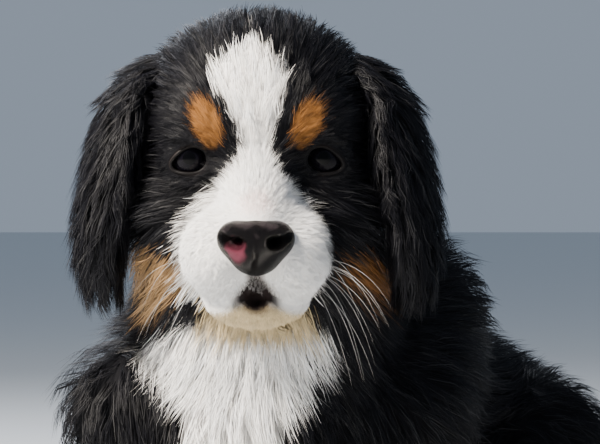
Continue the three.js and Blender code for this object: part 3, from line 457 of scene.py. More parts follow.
def surface_of(field, lines, coarse=4):
    """Points and quads of the surface where the field is nought, on a grid of uneven lines."""
    values = grid_values(field, lines, coarse)
    shape = values.shape
    total = np.zeros((*(n - 1 for n in shape), 3))
    crossings = np.zeros(total.shape[:3])
    for axis in range(3):
        others = [n for n in range(3) if n != axis]
        low_end, high_end = end_slices(axis)
        a, b = values[low_end], values[high_end]
        crosses = (a < 0) != (b < 0)
        t = np.where(crosses, a / np.where(crosses, a - b, 1), 0)
        for offsets in ((0, 0), (0, 1), (1, 0), (1, 1)):
            part = [slice(None)] * 3
            for other, offset in zip(others, offsets):
                part[other] = slice(offset, shape[other] - 1 + offset)
            on = crosses[tuple(part)]
            local = np.zeros((*on.shape, 3))
            local[..., axis] = t[tuple(part)]
            local[..., others] = offsets
            total += local * on[..., None]
            crossings += on

    used = crossings > 0
    number = np.full(used.shape, -1)
    number[used] = np.arange(used.sum())
    index = np.nonzero(used)
    share = total[used] / crossings[used][:, None]
    cell = np.stack([row[i + 1] - row[i] for row, i in zip(lines, index)], axis=1)
    start = np.stack([row[i] for row, i in zip(lines, index)], axis=1) + share * cell
    points = settled(field, start, 3)
    strayed = np.linalg.norm(points - start, axis=1) > 0.45 * np.linalg.norm(cell, axis=1)
    points[strayed] = start[strayed]

    inside = values < 0
    quads = []
    for axis in range(3):
        second_axis, third_axis = (axis + 1) % 3, (axis + 2) % 3
        low_end, high_end = end_slices(axis, slice(1, -1))
        starts_inside = inside[low_end]
        crossing = np.nonzero(starts_inside != inside[high_end])
        corners = []
        for second, third in ((1, 1), (0, 1), (0, 0), (1, 0)):
            cell_index = list(crossing)
            cell_index[second_axis] = crossing[second_axis] + 1 - second
            cell_index[third_axis] = crossing[third_axis] + 1 - third
            corners.append(number[tuple(cell_index)])
        quad = np.stack(corners, axis=1)
        turned_in = ~starts_inside[crossing]
        quad[turned_in] = quad[turned_in][:, ::-1]
        quads.append(quad)
    return points, np.concatenate(quads)


def new_piece(name, points, faces):
    """A smooth mesh object from points in the dog's own millimetres, on the dog's one body."""
    mesh = bpy.data.meshes.new(name)
    faces = np.asarray(faces)
    corners = faces.shape[1]
    mesh.vertices.add(len(points))
    mesh.vertices.foreach_set("co", metres(points).astype(np.float32).ravel())
    mesh.loops.add(faces.size)
    mesh.loops.foreach_set("vertex_index", faces.astype(np.int32).ravel())
    mesh.polygons.add(len(faces))
    mesh.polygons.foreach_set("loop_start", np.arange(0, faces.size, corners, dtype=np.int32))
    mesh.polygons.foreach_set("use_smooth", np.full(len(faces), True))
    mesh.update(calc_edges=True)
    piece = bpy.data.objects.new(name, mesh)
    bpy.context.scene.collection.objects.link(piece)
    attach(piece, "root")
    return piece


SKIN_LINES = [
    grid_lines(-118, 228, lambda x: FINE if 18 < abs(x) < 40 else MEDIUM if abs(x) < 66 else COARSE),
    grid_lines(-152, 246, lambda y: FINE if -108 < y < -90 else MEDIUM if y < -30 else COARSE),
    grid_lines(-6, 278, lambda z: FINE if 196 < z < 222 else MEDIUM if z > 130 else COARSE),
]
skin_points, skin_quads = surface_of(skin_field, SKIN_LINES)
skin_normals = unit(slope_of(skin_field, skin_points))
skin = new_piece("skin", skin_points, skin_quads)

# The lie of the coat: over the face it runs from the nose, over the neck and trunk down and back, and on
# each leg and the tail towards the tip.
NOSE_ROOT = on_head(0, 46, -24)
BLEND_REACH = 6


def soft(value, low, high):
    """Nought below the low value, one above the high one, with a soft rise between."""
    t = np.clip((value - low) / (high - low), 0, 1)
    return t * t * (3 - 2 * t)


def head_lie(points):
    away = unit(points - NOSE_ROOT)
    side = points[:, 0]
    hang = np.clip((np.abs(side) - 15) / 40, 0, 1)
    away[:, 2] -= 0.9 * hang
    away[:, 0] += 0.3 * hang * np.sign(side)
    return away


def neck_lie(points):
    fan = 0.015 * (points[:, 0] - 2)
    return np.stack([fan, np.full(len(points), 0.25), np.full(len(points), -1.0)], axis=1)


def trunk_lie(points):
    back = soft((points - [10, 0, 0]) @ [0.45, 0.9, 0], -45, 40)[:, None]
    return (1 - back) * [0.15, 0, -1] + back * [0.5, 0.75, -0.35]


def straight_lie(start, end):
    direction = unit(np.array(end, float) - start)
    return lambda points: np.tile(direction, (len(points), 1))


GROUPS = {"head": (HEAD, head_lie), "neck": (NECK, neck_lie), "trunk": (TRUNK, trunk_lie)}
for s in (LEFT, RIGHT):
    fore, hind = FORELEGS[s], HIND_LEGS[s]
    thigh, shin, *foot = hind_leg(hind)
    GROUPS[f"foreleg_{SIDE_NAMES[s]}"] = (foreleg(fore), straight_lie(fore["elbow"], fore["toes"]))
    GROUPS[f"thigh_{SIDE_NAMES[s]}"] = ([thigh], straight_lie((0, 0, 0), (0.25, 0.35, -1)))
    GROUPS[f"shin_{SIDE_NAMES[s]}"] = ([shin], straight_lie(hind["knee"], hind["hock"]))
    GROUPS[f"foot_{SIDE_NAMES[s]}"] = (foot, straight_lie(hind["hock"], hind["toes"]))
GROUPS["tail"] = (TAIL, straight_lie(TAIL_POINTS[0], TAIL_POINTS[-1]))
GROUP_NAMES = list(GROUPS)


def coat_at(points):
    """The coat's depth and lie at these places on the skin, and the number of the nearest group."""
    weight_sum, depth_sum = np.zeros(len(points)), np.zeros(len(points))
    lie_sum = np.zeros((len(points), 3))
    nearest, best = np.zeros(len(points), int), np.full(len(points), np.inf)
    for number, (forms, lie) in enumerate(GROUPS.values()):
        reach = np.full(len(points), np.inf)
        for form in forms:
            distance = form_distance(form, points)
            weight = np.exp(-np.maximum(distance, -10) / BLEND_REACH)
            weight_sum += weight
            depth_sum += weight * form["coat"]
            reach = np.minimum(reach, distance)
        lie_sum += np.exp(-np.maximum(reach, -10) / BLEND_REACH)[:, None] * unit(lie(points))
        nearest = np.where(reach < best, number, nearest)
        best = np.minimum(best, reach)
    return depth_sum / weight_sum, unit(lie_sum), nearest


# The coat is short round the lids, the nose, the lips and under the chin, and long behind the elbows and
# on the cheeks.
skin_depth, skin_lie, skin_group = coat_at(skin_points)
from_lids = np.minimum(from_opening(skin_points, LEFT), from_opening(skin_points, RIGHT))
skin_depth *= 0.22 + 0.78 * soft(from_lids, 0.5, 10)
skin_depth *= 0.3 + 0.7 * soft(np.linalg.norm(skin_points - on_head(0, 50, -32), axis=1), 13, 26)
mouth_away = from_mouth(skin_points)
skin_depth *= 0.3 + 0.7 * soft(mouth_away, 0, 9)
for s in (LEFT, RIGHT):
    from_elbow = np.linalg.norm(skin_points - FORELEGS[s]["elbow"], axis=1)
    elbow_hair = 1 + 0.9 * soft(-from_elbow, -48, -22)
    skin_depth *= np.where(skin_group == GROUP_NAMES.index(f"foreleg_{SIDE_NAMES[s]}"), elbow_hair, 1)
    from_cheek = np.linalg.norm(skin_points - on_head(s * 42, -18, -48), axis=1)
    skin_depth *= 1 + 0.5 * soft(-from_cheek, -30, -14)
from_chin = np.linalg.norm(skin_points - on_head(0, 16, -56), axis=1)
skin_depth *= np.where(skin_group == GROUP_NAMES.index("neck"), 0.4 + 0.6 * soft(from_chin, 24, 46), 1)

# The markings: a white blaze that widens over the muzzle, a chin painted beige as in the muzzle's shade,
# a white bib down to the floor, tan brows and cheeks, tan legs with white feet, a white tail tip, and black
# all over the rest. A row of the white bands is a height over the eyes and the band's two edges there, from
# the top down.
BLACK, WHITE, TAN = linear("#0B0B0F"), linear("#FAF7F3"), linear("#80552A")
CHIN_SHADE_BEIGE, NOSE_BLUSH, DARK_ROUND_MOUTH = linear("#C9B48C"), linear("#E9C9C6"), linear("#3A2B26")
BLAZE = np.array([
    (53, -2, -4), (47.5, -10, 4), (41, -20, 12), (33, -19, 13), (25, -13.5, 10.5), (16, -9, 8), (8, -6.5, 6),
    (-1, -8, 7), (-8, -13.5, 11.5), (-16, -24, 18.5), (-25, -31, 26), (-35, -36, 30), (-45, -35.5, 31),
    (-57, -35, 29), (-68, -33, 27), (-90, -33, 27),
])[::-1]
BIB = np.array([
    (-60, -16, 16), (-74, -28, 24), (-80, -50, 33), (-90, -53, 32), (-98, -44, 24), (-106, -32, 16),
    (-123, -33, 11), (-210, -30, 14),
])[::-1]
BROW_SPOT = {"out": 21.5, "up": 15, "wide": 5.9, "high": 10, "lean": 0.26}
CHEEK_SPOTS = {
    RIGHT: {"out": 50, "up": -55, "wide": 15, "high": 12, "strength": 1},
    # The left cheek, on the side away from the light, has a weaker tan: a painted shade.
    LEFT: {"out": 49, "up": -53, "wide": 10, "high": 8, "strength": 0.6},
}
# Each part of a leg, and how far down it the tan and the white start. The shin is tan all over.
LEG_MARKINGS = [
    {"part": "foreleg", "legs": FORELEGS, "from": "elbow", "to": "toes", "tan": 0.3, "white": 0.62},
    {"part": "shin", "legs": HIND_LEGS, "from": "knee", "to": "hock", "tan": -0.1, "white": 2},
    {"part": "foot", "legs": HIND_LEGS, "from": "hock", "to": "toes", "tan": -1, "white": 0.32},
]
TAIL_LENGTH = 80


def band(edges, side, height):
    """How far a place is inside the white band, which has two edges at each height."""
    low_edge = np.interp(height, edges[:, 0], edges[:, 1])
    high_edge = np.interp(height, edges[:, 0], edges[:, 2])
    return np.minimum(side - low_edge, high_edge - side)


def ripple(points, size):
    """A soft uneven value from -1 to 1 that changes over that many millimetres."""
    x, y, z = (points / size).T
    waves = np.sin(x + 1.7 * np.sin(y)) + np.sin(1.3 * y + 1.9 * np.sin(z))
    return (waves + np.sin(1.1 * z + 1.8 * np.sin(x))) / 3


def coat_colour(points):
    """The colour of the hair at those places."""
    side, forward, up = head_place(points).T
    height = points[:, 2] - EYE_HEIGHT
    edge = ripple(points, 3)
    group = coat_at(points)[2]
    in_head = group == GROUP_NAMES.index("head")
    # The bib ends on the sides of the neck, further forward the higher it is.
    nape = np.interp(height, [-130, -60], [5, 55])
    front = soft(-points[:, 1] - nape, 0, 20)
    white = np.where(
        in_head,
        soft(band(BLAZE, side, height) + edge, -1.5, 1.5) * soft(forward, -56, -44),
        soft(band(BIB, side, height) + edge * 2, -2, 2) * front,
    )
    tan, cheek_light = np.zeros((2, len(points)))
    for s in (LEFT, RIGHT):
        out = s * side - BROW_SPOT["out"] - BROW_SPOT["lean"] * (height - BROW_SPOT["up"])
        away = np.hypot(out / BROW_SPOT["wide"], (height - BROW_SPOT["up"]) / BROW_SPOT["high"])
        tan = np.maximum(tan, soft(-away + 0.1 * edge, -1.15, -0.9) * in_head * (forward > -40))
        spot = CHEEK_SPOTS[s]
        away = np.hypot((s * side - spot["out"]) / spot["wide"], (height - spot["up"]) / spot["high"])
        cheek = soft(-away + 0.12 * edge, -1.2, -0.8) * (forward > -45) * spot["strength"]
        tan = np.maximum(tan, cheek)
        # The right cheek, out in the light, gets painted light: its tan is paler than the rest,
        # mixed a little towards the chin's beige.
        cheek_light = np.maximum(cheek_light, cheek * (s == RIGHT))
        for marking in LEG_MARKINGS:
            leg = marking["legs"][s]
            start = np.array(leg[marking["from"]], float)
            way = leg[marking["to"]] - start
            t = (points - start) @ way / (way @ way) + 0.07 * edge
            here = group == GROUP_NAMES.index(f"{marking['part']}_{SIDE_NAMES[s]}")
            tan = np.where(here, soft(t, marking["tan"], marking["tan"] + 0.14), tan)
            white = np.where(here, soft(t, marking["white"], marking["white"] + 0.06), white)
    tail_way = unit(TAIL_POINTS[-1] - TAIL_POINTS[0])
    t = (points - TAIL_POINTS[0]) @ tail_way / TAIL_LENGTH + 0.05 * edge
    white = np.where(group == GROUP_NAMES.index("tail"), soft(t, 0.85, 0.95), white)

    lip_up = np.interp(np.abs(side), [place[0] for place in LIP_PLACES], [place[2] for place in LIP_PLACES])
    # The chin under the lips is painted beige: the muzzle's shade painted on, over a slight tint of its own.
    chin_shade = soft(lip_up - up + 0.5 * edge, 1, 4.5) * soft(height, -84, -78)
    chin_shade = (chin_shade * soft(-np.abs(side), -32, -26) * soft(forward, -20, -5))[:, None]
    blush = (soft(-np.linalg.norm(points - on_head(0, 40, -16), axis=1), -11, -4) * 0.6)[:, None]
    # The hair round the middle of the mouth and down from the nose is darker.
    dark_round_mouth = soft(-from_mouth(points) + 1.2 * edge, -5, 0.5) * soft(-np.abs(side), -13, -5) * (forward > 25)
    pale = WHITE + chin_shade * (CHIN_SHADE_BEIGE - WHITE)
    pale = pale + (0.9 * dark_round_mouth)[:, None] * (DARK_ROUND_MOUTH - pale)
    pale = pale + blush * (NOSE_BLUSH - pale)
    colour = BLACK + tan[:, None] * (TAN - BLACK)
    colour = colour + (0.28 * cheek_light)[:, None] * (CHIN_SHADE_BEIGE - colour)
    return colour + white[:, None] * (pale - colour)


def paint(piece, colours):
    """Gives the piece's points these colours, under the name that the painted materials read."""
    layer = piece.data.color_attributes.new("marking", "FLOAT_COLOR", "POINT")
    opaque = np.column_stack([colours, np.ones(len(colours))])
    layer.data.foreach_set("color", opaque.astype(np.float32).ravel())


def add_node(material, kind, links=(), **settings):
    """A node of that kind with its settings, and its inputs linked or set."""
    node = material.node_tree.nodes.new("ShaderNode" + kind)
    for name, value in settings.items():
        setattr(node, name, value)
    for name, source in dict(links).items():
        if isinstance(source, bpy.types.NodeSocket):
            material.node_tree.links.new(source, node.inputs[name])
        else:
            node.inputs[name].default_value = source
    return node


def painted_material(name, inputs):
    """A material that shows the colours painted on its piece, and its Principled shader."""
    material, shader = new_material(name, inputs)
    marking = add_node(material, "Attribute", attribute_name="marking")
    material.node_tree.links.new(marking.outputs["Color"], shader.inputs["Base Color"])
    return material, shader


# Skin that shows between the hairs has their markings, a little darker. It is bare and dark on the lips
# and in the lids.
LIP, INNER_LID = linear("#1E1615"), linear("#100C0C")
SKIN_SHADE = 0.85
lip_side = np.abs(head_place(skin_points)[:, 0])
lip = (soft(-mouth_away, -1.6, -0.5) * soft(-lip_side, -12, -6))[:, None]
lids = soft(-from_lids, -1.4, -0.5)[:, None]
skin_colour = coat_colour(skin_points) * SKIN_SHADE * (1 - lip) + LIP * lip
paint(skin, skin_colour * (1 - lids) + INNER_LID * lids)

# Skin with the stubs of short hair: dull, with a fine grain. The grain runs over the piece's own box,
# which is 351 mm long on the skin.
HAIR_GRAIN = 0.39
SKIN_SPAN = 351
skin_paint, shader = painted_material("hairy_skin", {"Roughness": 0.75, "Specular IOR Level": 0.1})
grain = add_node(skin_paint, "TexNoise", {"Scale": SKIN_SPAN / HAIR_GRAIN, "Detail": 3})
grain_bump = add_node(
    skin_paint, "Bump", {"Height": grain.outputs["Fac"], "Strength": 0.5, "Distance": 0.0006},
)
skin_paint.node_tree.links.new(grain_bump.outputs["Normal"], shader.inputs["Normal"])
skin.data.materials.append(skin_paint)
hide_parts("head", "neck", "chest", "loin", "tail", *[
    f"{name}_{SIDE_NAMES[s]}" for s in (LEFT, RIGHT) for name in ("foreleg", "forepaw", "thigh", "hind_paw")
])

# The coat grows out of the skin in tufts. Each tuft is a thin closed blade of three sides that tapers,
# bends along the lie and leans with its neighbours towards the nearest of some guide hairs.
LENGTH_FOR_DEPTH = 1.7  # a hair's length for each millimetre of the coat's depth
HAIRS_TO_A_GUIDE = 12
HAIR_SINK = 0.8  # how far a root starts under the skin
FLOOR_GAP = 0.4
SHORT_COAT = 5.4  # hair of the head less deep than this is part of the face's coat
MAP_PATCH = 0.003  # each hair's patch on the map, as a share of it
SILVER = 0.02  # one hair in seven or so is this much lighter
SILVER_SHARE = 0.14
rng = np.random.default_rng(11)

# Clean puppy hair: a soft silky shine along the tufts, low enough that black fur stays black.
coat_paint, _ = painted_material("soft_fur", {"Roughness": 0.44, "Specular IOR Level": 0.11})


def tangent(vectors, normals):
    return unit(vectors - (vectors * normals).sum(1)[:, None] * normals)


def comb(roots, normals, lies, lengths, depths, steps, field=None):
    """Paths of guide hairs, which rise from the roots to the coat's depth and lie over along the skin."""
    paths = [roots]
    place, normal = roots.copy(), normals
    for step in range(1, steps + 1):
        height = depths * (1 - (1 - step / steps) ** 2)
        place = place + tangent(lies, normal) * (lengths / steps)[:, None]
        if field is None:
            rise = height - depths * (1 - (1 - (step - 1) / steps) ** 2)
            place = place + normal * rise[:, None]
        else:
            slope = slope_of(field, place, 1.0)
            steep = np.maximum((slope**2).sum(1), 0.3)
            place = place + slope * np.clip((height - field(place)) / steep, -8, 8)[:, None]
            normal = unit(slope)
        paths.append(place)
    return np.stack(paths, axis=1)


def nearest_of(points, targets, chunk=4000):
    """The number of the target nearest to each point."""
    square = (targets**2).sum(1)
    parts = [points[i : i + chunk] for i in range(0, len(points), chunk)]
    return np.concatenate([np.argmin(square - 2 * part @ targets.T, axis=1) for part in parts])


def tufts(roots, normals, lengths, paths, guide, clump, spread):
    """Each hair's path: its guide's, moved to its own root, drawn in to the guide towards the tip."""
    t = np.linspace(0, 1, paths.shape[1])[None, :, None]
    offset = (roots - paths[guide, 0])[:, None]
    own = paths[guide] + offset * (1 - clump * t**1.3)
    own = roots[:, None] + (own - roots[:, None]) * rng.uniform(0.72, 1.12, (len(roots), 1, 1))
    own = own + rng.normal(0, 1, (len(roots), 1, 3)) * t**1.5 * spread * lengths[:, None, None]
    return own - normals[:, None] * HAIR_SINK * (1 - t) ** 3


BLADE_WIDE, BLADE_THICK = 0.577, 0.25  # of a hair's width, from its middle to a corner
BLADE_CORNERS = (math.pi / 2, math.pi * 7 / 6, math.pi * 11 / 6)
ROOT_SHADE = 0.85
BRIGHTEST = 0.95


def hair_mesh(name, paths, normals, widths, colours, uv, tip_shade=1.15):
    """Closed blades along these paths, as one piece, with their colours and their small map patches."""
    count, stations = paths.shape[:2]
    rings = stations - 1
    ahead = np.empty_like(paths)
    ahead[:, :-1] = paths[:, 1:] - paths[:, :-1]
    ahead[:, -1] = ahead[:, -2]
    ahead = unit(ahead)
    across = unit(np.cross(ahead, normals[:, None]))
    lift = np.cross(across, ahead)
    t = np.linspace(0, 1, stations)[:rings]
    profile = (1 - t**2.2) * (0.75 + 0.25 * np.minimum(4 * t, 1))
    corners, facing = [], []
    # The shading turns part of the way from the skin's to the blade's own, so that tufts read as one coat.
    for turn in BLADE_CORNERS:
        sideways = BLADE_WIDE * math.cos(turn) * across[:, :rings]
        wide = sideways + BLADE_THICK * math.sin(turn) * lift[:, :rings]
        corners.append(paths[:, :rings] + wide * (widths[:, None] * profile)[..., None])
        facing.append(0.35 * normals[:, None] + 0.5 * lift[:, :rings] + 0.6 * unit(wide))
    body = np.stack(corners, axis=2).reshape(count, rings * 3, 3)
    points = np.concatenate([body, paths[:, -1:]], axis=1)
    tips = (0.55 * normals + 0.5 * lift[:, -1])[:, None]
    facing = unit(np.concatenate([np.stack(facing, axis=2).reshape(count, rings * 3, 3), tips], axis=1))
    faces = [(0, 1, 2)]
    for low in range(0, 3 * rings - 3, 3):
        for a, b in ((0, 1), (1, 2), (2, 0)):
            high = low + 3
            faces += [(low + a, high + b, low + b), (low + a, high + a, high + b)]
    last, tip = 3 * rings - 3, 3 * rings
    faces += [(last + a, tip, last + b) for a, b in ((0, 1), (1, 2), (2, 0))]
    faces = (np.array(faces)[None] + (np.arange(count) * (tip + 1))[:, None, None]).reshape(-1, 3)
    piece = new_piece(name, points.reshape(-1, 3), faces)
    piece.data.normals_split_custom_set_from_vertices(facing.reshape(-1, 3).astype(np.float32))
    shade = np.append(np.repeat(ROOT_SHADE + (tip_shade - ROOT_SHADE) * t, 3), tip_shade)
    paint(piece, np.clip(colours[:, None] * shade[:, None], 0, BRIGHTEST).reshape(-1, 3))
    patch = np.array([(t[ring], corner / 2) for ring in range(rings) for corner in range(3)] + [(1, 0.5)])
    places = (uv[:, None] + MAP_PATCH * (patch - 0.5)).reshape(-1, 2)
    layer = piece.data.uv_layers.new(name="OFBake")
    layer.data.foreach_set("uv", places[faces.ravel()].astype(np.float32).ravel())
    piece.data.materials.append(coat_paint)
    return piece


def sphere_map(points, centre):
    """The skin unwrapped onto a square through the directions from a middle point."""
    x, z, y = unit(points - centre).T
    y = -y
    total = np.abs(x) + np.abs(y) + np.abs(z)
    u, v = x / total, y / total
    behind = z > 0
    folded_u = (1 - np.abs(v)) * np.where(u < 0, -1, 1)
    folded_v = (1 - np.abs(u)) * np.where(v < 0, -1, 1)
    u, v = np.where(behind, folded_u, u), np.where(behind, folded_v, v)
    return 0.5 + 0.49 * np.stack([u, v], axis=1)


def hair_width(length):
    return 0.2 + 0.012 * length


# Hair grows on each triangle of the skin but the ones on the floor, in the lids, under the nose and in
# the lips.
triangles = np.concatenate([skin_quads[:, [0, 1, 2]], skin_quads[:, [0, 2, 3]]])
corner_points = skin_points[triangles]
edges = corner_points[:, 1:] - corner_points[:, :1]
areas = 0.5 * np.linalg.norm(np.cross(edges[:, 0], edges[:, 1]), axis=1)
middles = corner_points.mean(1)
middle_depth = skin_depth[triangles].mean(1)
middle_group = skin_group[triangles[:, 0]]
from_nose = (head_place(middles) - [0, 46, -32]) / [14, 13, 11]
bare = middles[:, 2] < 1.5
bare |= from_lids[triangles].mean(1) < 1.1
bare |= np.linalg.norm(from_nose, axis=1) < 1
bare |= mouth_away[triangles].mean(1) < 0.5


def coat_piece(
    name, groups, count, steps, centre,
    chosen=None, clump=0.55, spread=0.06, rise=(0.55, 0.95), slot="coat_black", fine=1,
):
    """So many tufts, of one or two steps each, over the skin of these groups, as one piece."""
    within = np.isin(middle_group, [GROUP_NAMES.index(group) for group in groups]) & ~bare
    if chosen is not None:
        within &= chosen(middles, middle_depth)
    candidates = np.nonzero(within)[0]
    length = LENGTH_FOR_DEPTH * middle_depth[candidates]
    weight = areas[candidates] / (length * hair_width(length))
    weight /= weight.sum()

    def scatter(number):
        """Places spread over the skin, with its normal, its lie and the depth of its coat there."""
        corner = triangles[candidates[rng.choice(len(candidates), number, p=weight)]]
        a, b = rng.uniform(0, 1, (2, number, 1))
        a, b = np.where(a + b > 1, 1 - a, a), np.where(a + b > 1, 1 - b, b)

        def between(values):
            return values[corner[:, 0]] * (1 - a - b) + values[corner[:, 1]] * a + values[corner[:, 2]] * b

        depth = between(skin_depth[:, None])[:, 0]
        return between(skin_points), unit(between(skin_normals)), unit(between(skin_lie)), depth

    guide_roots, normals, lies, depths = scatter(count // HAIRS_TO_A_GUIDE)
    lies = lies + rng.normal(0, 0.14, lies.shape)
    lengths = LENGTH_FOR_DEPTH * depths * rng.uniform(0.85, 1.1, len(depths))
    rises = depths * rng.uniform(*rise, len(depths))
    paths = comb(guide_roots, normals, lies, lengths, rises, steps, skin_field)
    with_lie = (unit(np.diff(paths, axis=1)) * tangent(lies, normals)[:, None]).sum(2)
    smooth = with_lie.min(1) > 0.25
    guide_roots, paths = guide_roots[smooth], paths[smooth]

    roots, normals, _, depths = scatter(count)
    lengths = LENGTH_FOR_DEPTH * depths
    guide = nearest_of(roots, guide_roots)
    own = tufts(roots, normals, lengths, paths, guide, clump, spread)
    own[..., 2] = np.maximum(own[..., 2], FLOOR_GAP)
    widths = fine * hair_width(lengths) * rng.uniform(0.75, 1.25, count)
    middle_place = own[:, 1] if steps == 2 else 0.5 * own[:, 0] + 0.5 * own[:, -1]
    blur = np.clip(0.22 * depths, 0.8, 1.8)[:, None]
    colours = coat_colour(middle_place + rng.normal(0, 1, roots.shape) * blur)
    # Dark hair varies more in tone than white, by the tuft and by the hair.
    uneven = 0.64 - 0.42 * np.sqrt(colours.max(1, keepdims=True))
    tone = 0.55 * rng.uniform(-1, 1, (len(guide_roots), 1))[guide] + 0.45 * rng.uniform(-1, 1, (count, 1))
    colours = colours * (1 + uneven * tone) + SILVER * (rng.random((count, 1)) < SILVER_SHARE)
    # The tufts face a little apart, which breaks up the shine. It shows less where the coat is long.
    wild = (0.3 - 0.012 * depths) * soft(depths, 0.8, 2.4)
    facing = unit(normals + rng.normal(0, 1, guide_roots.shape)[guide] * wild[:, None])
    # A tuft that curls back on itself in a crease is left out.
    reach = np.linalg.norm(own[:, -1] - own[:, 0], axis=1)
    kept = reach > 0.86 * np.linalg.norm(np.diff(own, axis=1), axis=2).sum(1)
    uv = sphere_map(roots[kept], centre)
    piece = hair_mesh(name, own[kept], facing[kept], widths[kept], colours[kept], uv)


HEAD_MIDDLE = on_head(0, -25, -5)
TRUNK_WAY = (0.6, 0.8, 0)
BACK_START = 75  # how far along the trunk, from under the head, the coat of the back begins
FACE_STYLE = {"clump": 0.2, "spread": 0.05, "rise": (0.25, 0.55), "slot": "coat_face"}
coat_piece(
    "face_coat_left", ["head"], 42000, 1, HEAD_MIDDLE,
    chosen=lambda places, depth: (depth < SHORT_COAT) & (places[:, 0] >= 0), **FACE_STYLE,
)
coat_piece(
    "face_coat_right", ["head"], 42000, 1, HEAD_MIDDLE,
    chosen=lambda places, depth: (depth < SHORT_COAT) & (places[:, 0] < 0), **FACE_STYLE,
)
coat_piece(
    "crown_coat", ["head"], 16500, 2, HEAD_MIDDLE,
    chosen=lambda places, depth: depth >= SHORT_COAT, clump=0.45,
)
coat_piece(
    "neck_coat", ["neck"], 17500, 2, (2, -38, 150),
    clump=0.36, spread=0.08, rise=(0.5, 0.95), slot="coat_white", fine=0.85,
)
coat_piece(
    "shoulder_coat", ["trunk"], 16000, 2, (20, 20, 88),
    chosen=lambda places, depth: places @ TRUNK_WAY < BACK_START,
)
coat_piece(
    "back_coat", ["trunk"], 10500, 2, (75, 95, 75),
    chosen=lambda places, depth: places @ TRUNK_WAY >= BACK_START,
)
coat_piece("thigh_coat", ["thigh_left", "thigh_right"], 9000, 2, RUMP)
leg_groups = [f"{name}_{SIDE_NAMES[s]}" for s in (LEFT, RIGHT) for name in ("foreleg", "shin", "foot")]
coat_piece(
    "leg_coat", leg_groups, 19000, 2, (40, -20, 30), clump=0.6, spread=0.1, rise=(0.6, 1.1), slot="coat_tan",
)
coat_piece("tail_coat", ["tail"], 4500, 2, TAIL_POINTS[1], clump=0.6, spread=0.04, rise=(0.35, 0.8))

# The whiskers: long stiff pale hairs that grow from the upper lips and droop, more of them on the left.
# They share the coat's material and show half as bright as the white fur, since they are so thin.
WHISKERS = {LEFT: 13, RIGHT: 5}
WHISKER_STATIONS = 10
WHISKER_WIDTH = 0.17
WHISKER_SINK = 4
for s in (LEFT, RIGHT):
    number = WHISKERS[s]
    t = np.linspace(0, 1, WHISKER_STATIONS)[None, :, None]
    share = np.linspace(0, 1, number)
    out, forward = s * rng.uniform(24, 30, number), rng.uniform(22, 32, number)
    root = HEAD_ORIGIN + np.stack([out, forward, -38 - 15 * share], axis=1) @ HEAD_AXES
    reach = rng.uniform(26, 44, number)[:, None, None]
    heading = np.stack([s * (1.0 - 0.45 * share), 0.5 - 0.2 * share, 0.3 - 0.7 * share], axis=1) @ HEAD_AXES
    heading = unit(heading + rng.normal(0, 0.1, heading.shape))[:, None]
    fall = np.array([0, 0.2, -1.0]) * rng.uniform(18, 36, number)[:, None, None]
    run = reach * (t - 0.25 * t**2) * heading
    paths = root[:, None] - WHISKER_SINK * heading * (1 - t) + run + fall * t**2
    forward_normals = np.tile([0.0, -1, 0], (number, 1))
    widths = np.full(number, WHISKER_WIDTH)
    colours = np.tile(WHITE * 0.5, (number, 1))
    uv = sphere_map(root, HEAD_MIDDLE)
    name = f"whiskers_{SIDE_NAMES[s]}"
    whiskers = hair_mesh(name, paths, forward_normals, widths, colours, uv, tip_shade=1)

# The claws: short blunt curved horn, one to a toe, that grows out of its tip and bends to the floor.
CLAW_LENGTH, CLAW_RADIUS, CLAW_SIDES, CLAW_RINGS = 8, 1.7, 10, 6
CLAW_START, CLAW_RISE, CLAW_DROP = 3.5, 1.5, 4.5
UP = np.array([0, 0, 1])
claw_points, claw_faces = [], []
paw_places = [
    (legs[s][joint], legs[s]["toes"])
    for s in (LEFT, RIGHT)
    for legs, joint in ((FORELEGS, "wrist"), (HIND_LEGS, "hock"))
]
for start, toes in paw_places:
    forward, across = paw_axes(np.array(start, float), toes)
    for _, toe_tip in toe_places(start, toes):
        base = len(claw_points)
        last = base + (CLAW_RINGS - 1) * CLAW_SIDES
        for ring in range(CLAW_RINGS):
            t = ring / (CLAW_RINGS - 1)
            thick = CLAW_RADIUS * (1 - 0.85 * t)
            middle = toe_tip + forward * (CLAW_START + CLAW_LENGTH * t) + (CLAW_RISE - CLAW_DROP * t * t) * UP
            for i in range(CLAW_SIDES):
                turn = 2 * math.pi * i / CLAW_SIDES
                claw_points.append(middle + thick * (0.7 * math.cos(turn) * across + math.sin(turn) * UP))
        for ring_start in range(base, last, CLAW_SIDES):
            for i in range(CLAW_SIDES):
                a, b = ring_start + i, ring_start + (i + 1) % CLAW_SIDES
                claw_faces += [(a, a + CLAW_SIDES, b + CLAW_SIDES), (a, b + CLAW_SIDES, b)]
        for i in range(1, CLAW_SIDES - 1):
            claw_faces += [(base, base + i, base + i + 1), (last, last + i + 1, last + i)]

# Keratin, worn smooth: grey-brown, with a satin shine.
claw_paint, _ = new_material("claw_horn", {"Base Color": (*linear("#6E6058"), 1), "Roughness": 0.35})
claws = new_piece("claws", np.array(claw_points), np.array(claw_faces))
claws.data.materials.append(claw_paint)

# The ears: leather flaps with hair on both sides, which start on the crown, turn over and hang beside the
# cheeks. Each row is out, forward and up on the head, then half the ear's width and its thickness there.
EAR_ROWS = np.array([
    (43, -32, 35, 17, 6), (49.5, -32, 31, 22, 8.5), (55, -31, 22, 26, 10), (58, -29, 8, 28, 11),
    (61, -27, -6, 29, 11), (64.5, -25, -25, 26, 10.5), (66, -23, -40, 20, 9.5), (65.5, -21, -52, 12, 7),
])
BACK_TURN, FRONT_TURN = math.radians(24), math.radians(8)
OUTER_SHARE, INNER_SHARE = 0.5, 1.2  # of the thickness, outside and inside the middle of the flap
EAR_CUP = 5
EAR_POINT_ROWS, EAR_POINT_SIDES = 40, 28
EAR_GUIDES, EAR_HAIRS, EAR_HAIR_STEPS = 420, 7000, 3
SMALL_STEP = 0.02


